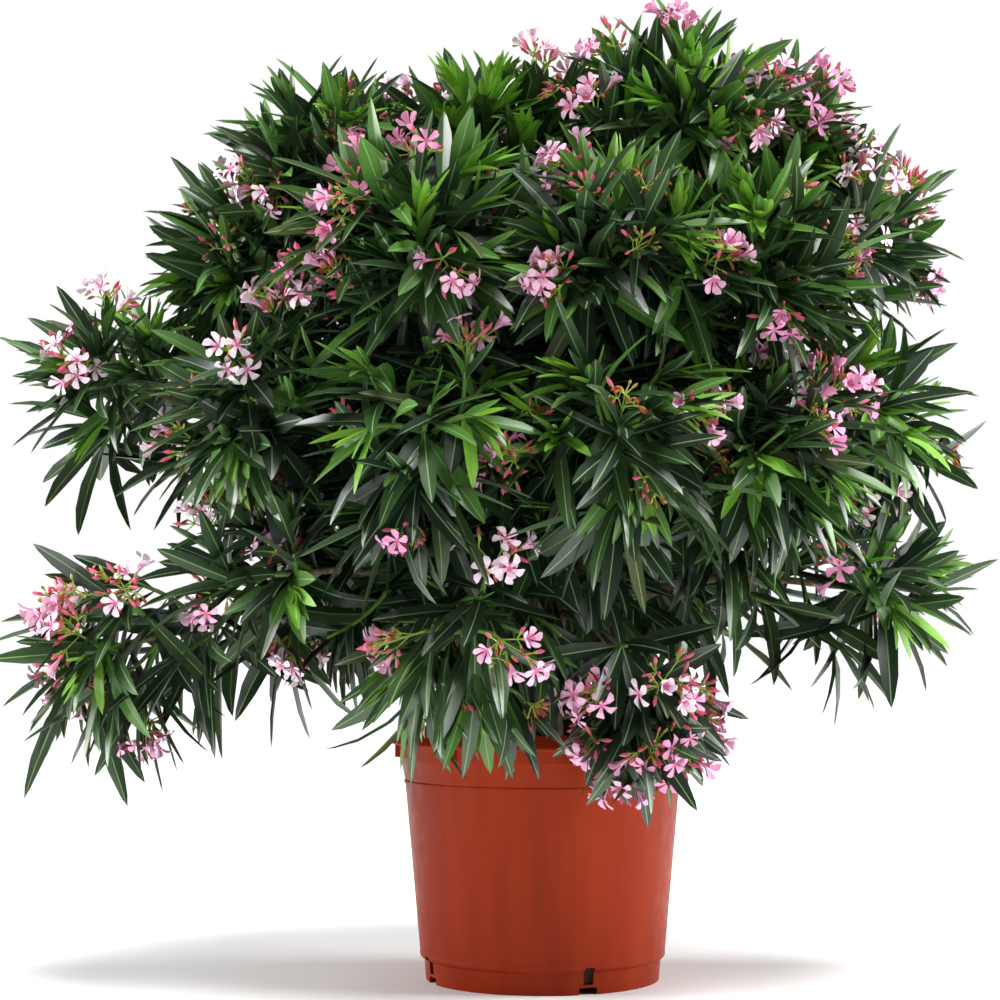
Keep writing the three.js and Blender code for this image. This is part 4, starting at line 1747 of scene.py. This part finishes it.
        def spot(share: float) -> tuple[Array, Array]:
            """Works out where the blades are at a share of their length.

            Args:
                share: The share.

            Returns:
                The midribs' points there, and the directions that the upper sides face.
            """
            angle = bend * share
            along = (np.sin(angle) / bend * length)[:, None]
            down = ((1 - np.cos(angle)) / bend * length)[:, None]
            normal = face * np.cos(angle)[:, None] + way * np.sin(angle)[:, None]
            aside = (sway * length * share**2)[:, None]
            return root + way * along - face * down + side * aside, normal

        rows = []
        for number, (share, breadth) in enumerate(self.rings):
            middle, normal = spot(share)
            half = (width / 2 * breadth)[:, None]
            rib = np.minimum(half * self.rib_most, self.rib / 2)
            ripple = self.wave * math.sin(number * self.wave_turn) * breadth
            ripple = ripple * np.sin(length * self.wave_shift)[:, None]
            below = normal * self.keel * (0.5 + 0.5 * breadth)
            rows += [
                middle + side * half + normal * (half * self.fold + ripple),
                middle + side * rib + normal * self.rib_rise,
                middle - side * rib + normal * self.rib_rise,
                middle - side * half + normal * (half * self.fold - ripple),
                middle - side * rib - below,
                middle + side * rib - below,
            ]
        own, rib_slot, under = -1, Blade.RIB.value, Blade.UNDER.value
        kinds = np.array([own, rib_slot, own, under, rib_slot, under])
        sides, rings = len(kinds), len(self.rings)
        rows += [spot(0.0)[0], spot(1.0)[0]]
        count, each = len(leaves), len(rows)
        points = np.stack(rows, 1).reshape(-1, 3)
        quads = ring_quads(sides, rings)
        near = ring_fan(sides, 0, each - 2, False)
        far = ring_fan(sides, (rings - 1) * sides, each - 1, True)
        fans = np.concatenate([near, far])
        offset = (np.arange(count) * each)[:, None, None]
        sheaf = Sheaf()

        def slots(pattern: Array) -> Array:
            """Works out the slots of the faces. A tender leaf has its own colour below too.

            Args:
                pattern: The slots of one leaf's faces, in the order of the faces.

            Returns:
                Those of all leaves.
            """
            wide = np.broadcast_to(pattern, (count, len(pattern)))
            tender = (wide == under) & (tone[:, None] >= Blade.FRESH.value)
            return np.where((wide == own) | tender, tone[:, None], wide).ravel()

        sheaf.add(
            points,
            [
                ((quads[None] + offset).reshape(-1, 4), slots(np.tile(kinds, rings - 1))),
                ((fans[None] + offset).reshape(-1, 3), slots(np.tile(kinds, 2))),
            ],
        )
        return sheaf.build(name, materials, self.sharp)


# ------------ blossom


class Part(Enum):
    """Slots of the piece of flowers."""

    PALE = 0
    PINK = 1
    ROSE = 2
    THROAT = 3


class Bud(Enum):
    """Slots of the piece of buds."""

    RIPE = 0
    GREEN = 1
    CALYX = 2
    SPENT = 3


def tilted(axis: Array, lean: float, turn: float) -> Array:
    """Tilts a direction.

    Args:
        axis: The direction.
        lean: How far it is tilted, in radians.
        turn: To which side, in radians about itself.

    Returns:
        The tilted direction, of length 1.
    """
    across = perpendicular(axis)
    beyond = np.cross(axis, across)
    return unit(axis * math.cos(lean) + (across * math.cos(turn) + beyond * math.sin(turn)) * math.sin(lean))


@dataclass(frozen=True)
class Stage:
    """How far a truss is in bloom."""

    forks: int  # beside the middle one
    rich_forks: int  # what a rich mass adds
    stalk: float  # share of the full stalk
    fork: float  # share of a fork's full length
    blooms: tuple[int, ...]  # open flowers of a fork, one of which chance picks
    ripeness: tuple[float, ...]  # share of its buds that are near to opening
    spent: tuple[float, ...]  # share of its flowers that have withered


IN_FLOWER = Stage(
    forks=4, rich_forks=2, stalk=1, fork=1, blooms=(0, 0, 1, 1, 2), ripeness=(0.6,), spent=(0.14,)
)
IN_BUD = Stage(
    forks=3, rich_forks=0, stalk=0.7, fork=0.6, blooms=(), ripeness=(0.1, 0.5), spent=(0.08, 0.08, 0.6)
)


@dataclass
class Blossom:
    """Trusses at the shoots' tips: forked stalks with open flowers, pointed buds and a few spent blooms."""

    petal: float = 14.5
    petal_width: float = 10.5
    offset: float = 3.2  # of its foot from the funnel's middle
    twist: float = 0.8  # how far it shifts sideways, as on a pinwheel
    curl: tuple[float, float] = (0.72, 0.36)  # share of the spread at its foot, and what its length adds
    uneven: float = 0.05  # usual difference in that
    thick: float = 0.8
    sagging: tuple[float, float] = (1.3, 0.5)  # how far its two edges lie back
    half_open: float = 0.5  # share of the flowers that are still half closed
    spread_half: tuple[float, float] = (24.0, 50.0)  # degrees between their petals and the way they face
    spread_open: tuple[float, float] = (66.0, 92.0)
    # Places along a petal: share of its length, of its width, and sideways shift.
    shape: tuple[tuple[float, float, float], ...] = (
        (0.0, 0.26, 0.0),
        (0.4, 0.62, 0.05),
        (0.8, 1.0, 0.2),
        (1.0, 0.6, 0.42),
    )
    funnel: float = 11.0  # its depth
    funnel_foot: float = 1.4
    funnel_mouth: float = 4.2
    throat: float = 2.5  # depth of the dark throat
    face_up: float = 0.1  # how far flowers face up
    face_out: float = 0.3  # and the way their fork points
    size_range: tuple[float, float] = (0.88, 1.08)
    # Rings along a bud: share of its length, of its radius, and turn.
    bud: tuple[tuple[float, float, float], ...] = ((0.0, 0.55, 0.0), (0.3, 0.85, 0.2), (0.62, 1.0, 0.5))
    ripe: tuple[float, float, float] = (2.7, 12.0, 21.0)  # radius, least and greatest length
    unripe: tuple[float, float, float] = (2.0, 6.0, 11.0)
    green_foot: float = 0.5  # share of buds with a green foot, not a reddish one
    unripe_tips: tuple[float, ...] = (0.42, 0.3, 0.14, 0.14)  # shares: green, reddish, dry, deep rose
    calyx: tuple[float, float] = (9.0, 1.9)  # length and radius below an open flower
    calyx_depth: float = 5.0  # where in it the funnel starts
    withered: tuple[float, float] = (13.0, 2.2)
    nod: float = 0.8  # how far withered flowers hang
    # The stalks.
    seed: int = 3  # tells a truss's numbers from those of its shoot's leaves
    upturn: float = 0.25  # how far a truss turns up
    hang: float = 0.9  # what droop takes from that
    stalk: float = 27.0
    stalk_range: tuple[float, float] = (0.7, 1.1)
    stalk_radius: float = 1.7
    stalk_sunk: float = 4.0
    taper: float = 0.8  # of every stalk
    rich: float = 0.7  # masses with at least this share in flower have richer trusses
    fork_from: tuple[float, float] = (0.45, 1.0)  # where forks leave the stalk
    fork_lean: tuple[float, float] = (18.0, 66.0)  # degrees
    middle_lean: float = 0.1  # radians
    fork_range: tuple[float, float] = (12.0, 30.0)
    fork_radius: float = 1.2
    in_cluster: tuple[int, int] = (4, 7)  # from so many pedicels to below so many
    pedicel_lean: tuple[float, float] = (20.0, 65.0)
    pedicel_range: tuple[float, float] = (8.0, 13.0)
    pedicel_radius: float = 1.1
    pot_radius: float = 226.0  # flowers keep this far from the pot's middle beside it
    pot_height: float = 352.0
    sharp: float = 60.0  # degrees, past which an edge shows
    flowers: Sheaf = field(default_factory=Sheaf)
    buds: Sheaf = field(default_factory=Sheaf)
    stalks: Sheaf = field(default_factory=Sheaf)

    def grow(self, shoots: Iterable[Shoot]) -> None:
        """Adds a truss to each shoot in bud or flower.

        Args:
            shoots: The crown's shoots.
        """
        for shoot in shoots:
            if shoot.kind is Kind.FLOWERING:
                self.truss(shoot, IN_FLOWER)
            elif shoot.kind is Kind.BUDDED:
                self.truss(shoot, IN_BUD)

    def truss(self, shoot: Shoot, stage: Stage) -> None:
        """Adds one truss.

        Args:
            shoot: The shoot that bears it.
            stage: How far it is in bloom.
        """
        random = np.random.default_rng(shoot.seed + self.seed)
        mass, tip = shoot.mass, shoot.curve.point(1.0)
        axis = unit(shoot.curve.tangent(1.0) + UP * (self.upturn - self.hang * mass.droop))
        long = self.stalk * random.uniform(*self.stalk_range) * stage.stalk
        self.rod(tip - axis * self.stalk_sunk, tip + axis * long, self.stalk_radius)
        shade = mass.tone.value + int(random.choice([-1, 0, 0, 0, 1]))
        tone = Part(min(Part.ROSE.value, max(Part.PALE.value, shade)))
        forks = stage.forks + (stage.rich_forks if mass.bloom >= self.rich else 0)
        ripeness, spent = (
            random.choice(shares) if len(shares) > 1 else shares[0]
            for shares in (stage.ripeness, stage.spent)
        )
        phase = random.random() * FULL_TURN
        for number in range(forks + 1):
            lean = math.radians(random.uniform(*self.fork_lean)) if number else self.middle_lean
            out = tilted(axis, lean, phase + number * GOLDEN)
            start = tip + axis * long * (random.uniform(*self.fork_from) if number else 1.0)
            end = start + out * random.uniform(*self.fork_range) * stage.fork
            self.rod(start, end, self.fork_radius)
            self.cluster(end, out, tone, stage, ripeness, spent, random)

    def cluster(
        self,
        end: Array,
        out: Array,
        tone: Part,
        stage: Stage,
        ripeness: float,
        spent: float,
        random: np.random.Generator,
    ) -> None:
        """Adds the flowers and buds at the end of one fork.

        Args:
            end: Where the fork ends.
            out: The way it points.
            tone: The petals' colour.
            stage: How far the truss is in bloom.
            ripeness: The share of its buds that are near to opening.
            spent: The share of its flowers that have withered.
            random: The truss's generator.
        """
        count = int(random.integers(*self.in_cluster))
        blooms = int(random.choice(stage.blooms)) if stage.blooms else 0
        for i in range(count):
            turn = i * GOLDEN + random.random()
            way = tilted(out, math.radians(random.uniform(*self.pedicel_lean)), turn)
            foot = end + way * random.uniform(*self.pedicel_range)
            if math.hypot(foot[0], foot[1]) < self.pot_radius and foot[2] < self.pot_height:
                continue
            self.rod(end, foot, self.pedicel_radius)
            if i < blooms:
                facing = unit(way + UP * self.face_up + out * self.face_out)
                size = random.uniform(*self.size_range)
                self.spindle(foot, facing, *self.calyx, Bud.CALYX, Bud.CALYX)
                self.flower(foot + facing * self.calyx_depth, facing, size, tone, random)
            elif random.random() < spent:
                self.spindle(foot, unit(way - UP * self.nod), *self.withered, Bud.CALYX, Bud.SPENT)
            else:
                self.closed(foot, way, random.random() < ripeness, random)

    def closed(self, foot: Array, way: Array, ripe: bool, random: np.random.Generator) -> None:
        """Adds a bud that is still closed.

        Args:
            foot: Its foot.
            way: The way it points.
            ripe: True if it is near to opening.
            random: The truss's generator.
        """
        radius, least, greatest = self.ripe if ripe else self.unripe
        long = random.uniform(least, greatest)
        unripe = random.choice([Bud.GREEN, Bud.CALYX, Bud.SPENT, Bud.RIPE], p=self.unripe_tips)
        low = Bud.GREEN if random.random() < self.green_foot else Bud.CALYX
        self.spindle(foot, way, long, radius, low, Bud.RIPE if ripe else unripe)

    def rod(self, start: Array, end: Array, radius: float) -> None:
        """Adds a three-sided stalk.

        Args:
            start: Its foot.
            end: Its tip.
            radius: At its foot.
        """
        way = unit(end - start)
        across = perpendicular(way)
        beyond = np.cross(way, across)
        turn = np.arange(3) / 3 * FULL_TURN
        ring = across * np.cos(turn)[:, None] + beyond * np.sin(turn)[:, None]
        points = np.concatenate([start + ring * radius, end + ring * radius * self.taper])
        caps = np.array([[2, 1, 0], [3, 4, 5]])
        self.stalks.add(points, [(ring_quads(3, 2), 0), (caps, 0)])

    def spindle(self, foot: Array, way: Array, long: float, radius: float, low: Bud, high: Bud) -> None:
        """Adds a bud: a small calyx and a pointed, five-sided spindle.

        Args:
            foot: Its foot.
            way: The way it points.
            long: Its length.
            radius: Its largest radius.
            low: The slot of its foot.
            high: The slot of the rest.
        """
        across = perpendicular(way)
        beyond = np.cross(way, across)
        turn = np.arange(5) / 5 * FULL_TURN
        rings = []
        for share, wide, twist in self.bud:
            ring = across * np.cos(turn + twist)[:, None] + beyond * np.sin(turn + twist)[:, None]
            rings.append(foot + way * long * share + ring * radius * wide)
        points = np.concatenate([*rings, [foot - way, foot + way * long]])
        quads = ring_quads(5, 3)
        slots = np.repeat([low.value, high.value], 5)
        near, far = ring_fan(5, 0, 15, False), ring_fan(5, 10, 16, True)
        self.buds.add(points, [(quads, slots), (near, low.value), (far, high.value)])

    def flower(self, foot: Array, way: Array, size: float, tone: Part, random: np.random.Generator) -> None:
        """Adds an open flower: a funnel and five petals set like a pinwheel.

        Args:
            foot: Where the funnel starts.
            way: The way the flower faces.
            size: Its share of the full size.
            tone: The petals' colour.
            random: The truss's generator.
        """
        across = perpendicular(way)
        beyond = np.cross(way, across)
        spin = random.random() * FULL_TURN
        mouth = foot + way * self.funnel * size
        turn = np.arange(5) / 5 * FULL_TURN + spin
        spoke = across * np.cos(turn)[:, None] + beyond * np.sin(turn)[:, None]
        low, high = foot + spoke * self.funnel_foot, mouth + spoke * self.funnel_mouth * size
        deeper = min(Part.ROSE.value, tone.value + 1)
        self.flowers.add(
            np.concatenate([low, high, [foot, mouth - way * self.throat]]),
            [
                (ring_quads(5, 2), deeper),
                (ring_fan(5, 0, 10, False), Part.THROAT.value),
                (ring_fan(5, 5, 11, True), Part.THROAT.value),
            ],
        )
        span = self.spread_half if random.random() < self.half_open else self.spread_open
        spread = math.radians(random.uniform(*span))
        rings = []
        for share, wide, shift in self.shape:
            lean = spread * (self.curl[0] + self.curl[1] * share) + random.normal(0, self.uneven)
            aside = np.cross(way, spoke) * size
            out = spoke * (self.offset * size + math.sin(lean) * share * self.petal * size)
            half = self.petal_width / 2 * wide
            middle = mouth + out + aside * shift * self.petal_width * self.twist
            middle = middle + way * math.cos(lean) * share * self.petal * size
            outward = spoke * math.cos(lean) - way * math.sin(lean)
            rings.append(
                np.stack(
                    [
                        middle + aside * half - outward * self.sagging[0] * wide * size,
                        middle,
                        middle - aside * half - outward * self.sagging[1] * wide * size,
                        middle + outward * self.thick * size,
                    ],
                    1,
                )
            )
        points = np.concatenate([np.concatenate([ring[i] for ring in rings]) for i in range(5)])
        quads = ring_quads(4, 4)
        slots = np.repeat([deeper, tone.value, tone.value], 4)
        caps = np.array([[3, 2, 1], [3, 1, 0], [12, 13, 14], [12, 14, 15]])
        cap_slots = np.array([Part.THROAT.value] * 2 + [tone.value] * 2)
        for i in range(5):
            self.flowers.add(points[i * 16 : (i + 1) * 16], [(quads, slots), (caps, cap_slots)])

    def build(self) -> list[bpy.types.Object]:
        """Builds the flowers, the buds and their stalks.

        Returns:
            The three finished pieces.
        """
        petals = [finish.make() for finish in (PETAL_PALE, PETAL_PINK, PETAL_ROSE, THROAT)]
        small = [finish.make() for finish in (BUD, BUD_GREEN, CALYX, SPENT)]
        return [
            self.flowers.build("flowers", petals, self.sharp),
            self.buds.build("flower_buds", small, self.sharp),
            self.stalks.build("flower_stalks", [STALK.make()], self.sharp),
        ]


# ------------ the studio


@dataclass
class Studio:
    """A pale floor, soft lamps and the camera, in metres."""

    eye: tuple[float, float, float] = (-0.056, -3.100, 0.470)
    target: tuple[float, float, float] = (-0.056, 0.0, 0.631)
    lens: float = 83.8
    floor_size: float = 60.0
    ambient: float = 0.09
    overhead: float = 3.8
    overhead_from: tuple[float, float, float] = (0.15, -0.25, 1.0)
    overhead_angle: float = 31.0  # degrees that it comes from, so that shadows are soft
    softbox: float = 1.6  # side of a softbox
    softbox_aim: tuple[float, float, float] = (0.0, 0.0, 0.7)
    # Place and power in watts of each softbox.
    softboxes: ClassVar[dict[str, tuple[tuple[float, float, float], float]]] = {
        "left_softbox": ((-2.9, -0.1, 1.3), 112),
        "right_softbox": ((2.9, -0.2, 1.5), 118),
    }

    def place(self, item: bpy.types.Object, place: Sequence[float], aim: Sequence[float]) -> None:
        """Puts a lamp or camera at a place, pointed at an aim.

        Args:
            item: The lamp or camera.
            place: Where it stands, in metres.
            aim: What it points at.
        """
        item.location = place
        item.rotation_euler = (Vector(aim) - Vector(place)).to_track_quat("-Z", "Y").to_euler()
        bpy.context.scene.collection.objects.link(item)

    def lamp(self, name: str, place: Sequence[float], power: float) -> None:
        """Adds a softbox.

        Args:
            name: Its name.
            place: Where it stands, in metres.
            power: In watts.
        """
        data = bpy.data.lights.new(name, "AREA")
        data.size, data.energy = self.softbox, power
        self.place(bpy.data.objects.new(name, data), place, self.softbox_aim)

    def sun(self) -> None:
        """Adds the broad overhead light, which falls alike on the object and on all of the floor."""
        data = bpy.data.lights.new("overhead", "SUN")
        data.energy, data.angle = self.overhead, math.radians(self.overhead_angle)
        self.place(bpy.data.objects.new("overhead", data), self.overhead_from, (0, 0, 0))

    def sky(self) -> None:
        """Makes the world: white where it is seen, and dim where it lights the object."""
        world = bpy.data.worlds.new("studio")
        bpy.context.scene.world = world
        world.use_nodes = True
        world.node_tree.nodes.clear()
        seen = add_node(world, "ShaderNodeLightPath").outputs["Is Camera Ray"]
        span = {"To Min": self.ambient, "To Max": 1.0}
        strength = add_node(world, "ShaderNodeMapRange", span, {"Value": seen}).outputs["Result"]
        glow = add_node(world, "ShaderNodeBackground", {"Color": (1, 1, 1, 1)}, {"Strength": strength})
        add_node(world, "ShaderNodeOutputWorld", links={"Surface": glow.outputs[0]})

    def build(self) -> None:
        """Sets up floor, world, lamps and camera."""
        bpy.ops.object.select_all(action="DESELECT")
        bpy.ops.mesh.primitive_plane_add(size=self.floor_size)
        floor = bpy.context.active_object
        floor.name = "floor"
        floor.data.materials.append(PAPER.make())
        floor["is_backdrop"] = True
        self.sky()
        for name, (place, power) in self.softboxes.items():
            self.lamp(name, place, power)
        self.sun()
        data = bpy.data.cameras.new("camera")
        data.lens = self.lens
        camera = bpy.data.objects.new("camera", data)
        self.place(camera, self.eye, self.target)
        bpy.context.scene.camera = camera
        bpy.context.scene.view_settings.view_transform = "Standard"


# ------------ the whole


def declare(piece: bpy.types.Object, nodes: Iterable[str]) -> None:
    """Ties a finished piece to the frame and reports it.

    Args:
        piece: The piece.
        nodes: The solids it stands for.
    """
    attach(piece, "root")
    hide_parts(*nodes)
    LOG.info("%s: %d faces", piece.name, len(piece.data.polygons))


def corners() -> list[list[float]]:
    """Returns the lowest and highest corner of the shown object as plain lists."""
    return [list(corner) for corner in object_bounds()]


def main() -> None:
    """Builds the pot, the mix, the limbs, the crown and the studio."""
    logging.basicConfig(level=logging.INFO, format="%(message)s")
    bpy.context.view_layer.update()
    foliage = [f"foliage_{name}" for name in MASSES]

    pot = NurseryPot()
    declare(pot.build(), ["pot"])
    declare(PottingMix().build(pot), ["potting_mix"])

    limbs = Limbs()
    limbs.grow()
    declare(limbs.build(STEMS, "stems"), [f"stem_{name}" for name in STEMS])
    declare(limbs.build(BOUGHS, "boughs"), [f"bough_{name}" for name in BOUGHS])

    crown = Crown()
    crown.grow(limbs.limbs)
    declare(crown.build(), foliage)

    leaves = Leaves()
    blades = (LEAF_AGED, LEAF_DARK, LEAF_MIDDLE, LEAF_FRESH, LEAF_YOUNG, LEAF_UNDER, MIDRIB)
    materials = [finish.make() for finish in blades]
    for region in Region:
        shoots = [shoot for shoot in crown.shoots if shoot.mass.region is region]
        rows = [leaf for shoot in shoots for leaf in leaves.on_shoot(shoot)]
        piece = leaves.build(f"leaves_{region.value}", leaves.clear(rows), materials)
        nodes = [f"foliage_{name}" for name, mass in MASSES.items() if mass.region is region]
        declare(piece, nodes)

    blossom = Blossom()
    blossom.grow(crown.shoots)
    for piece in blossom.build():
        declare(piece, foliage)

    Studio().build()


if __name__ == "__main__":
    main()
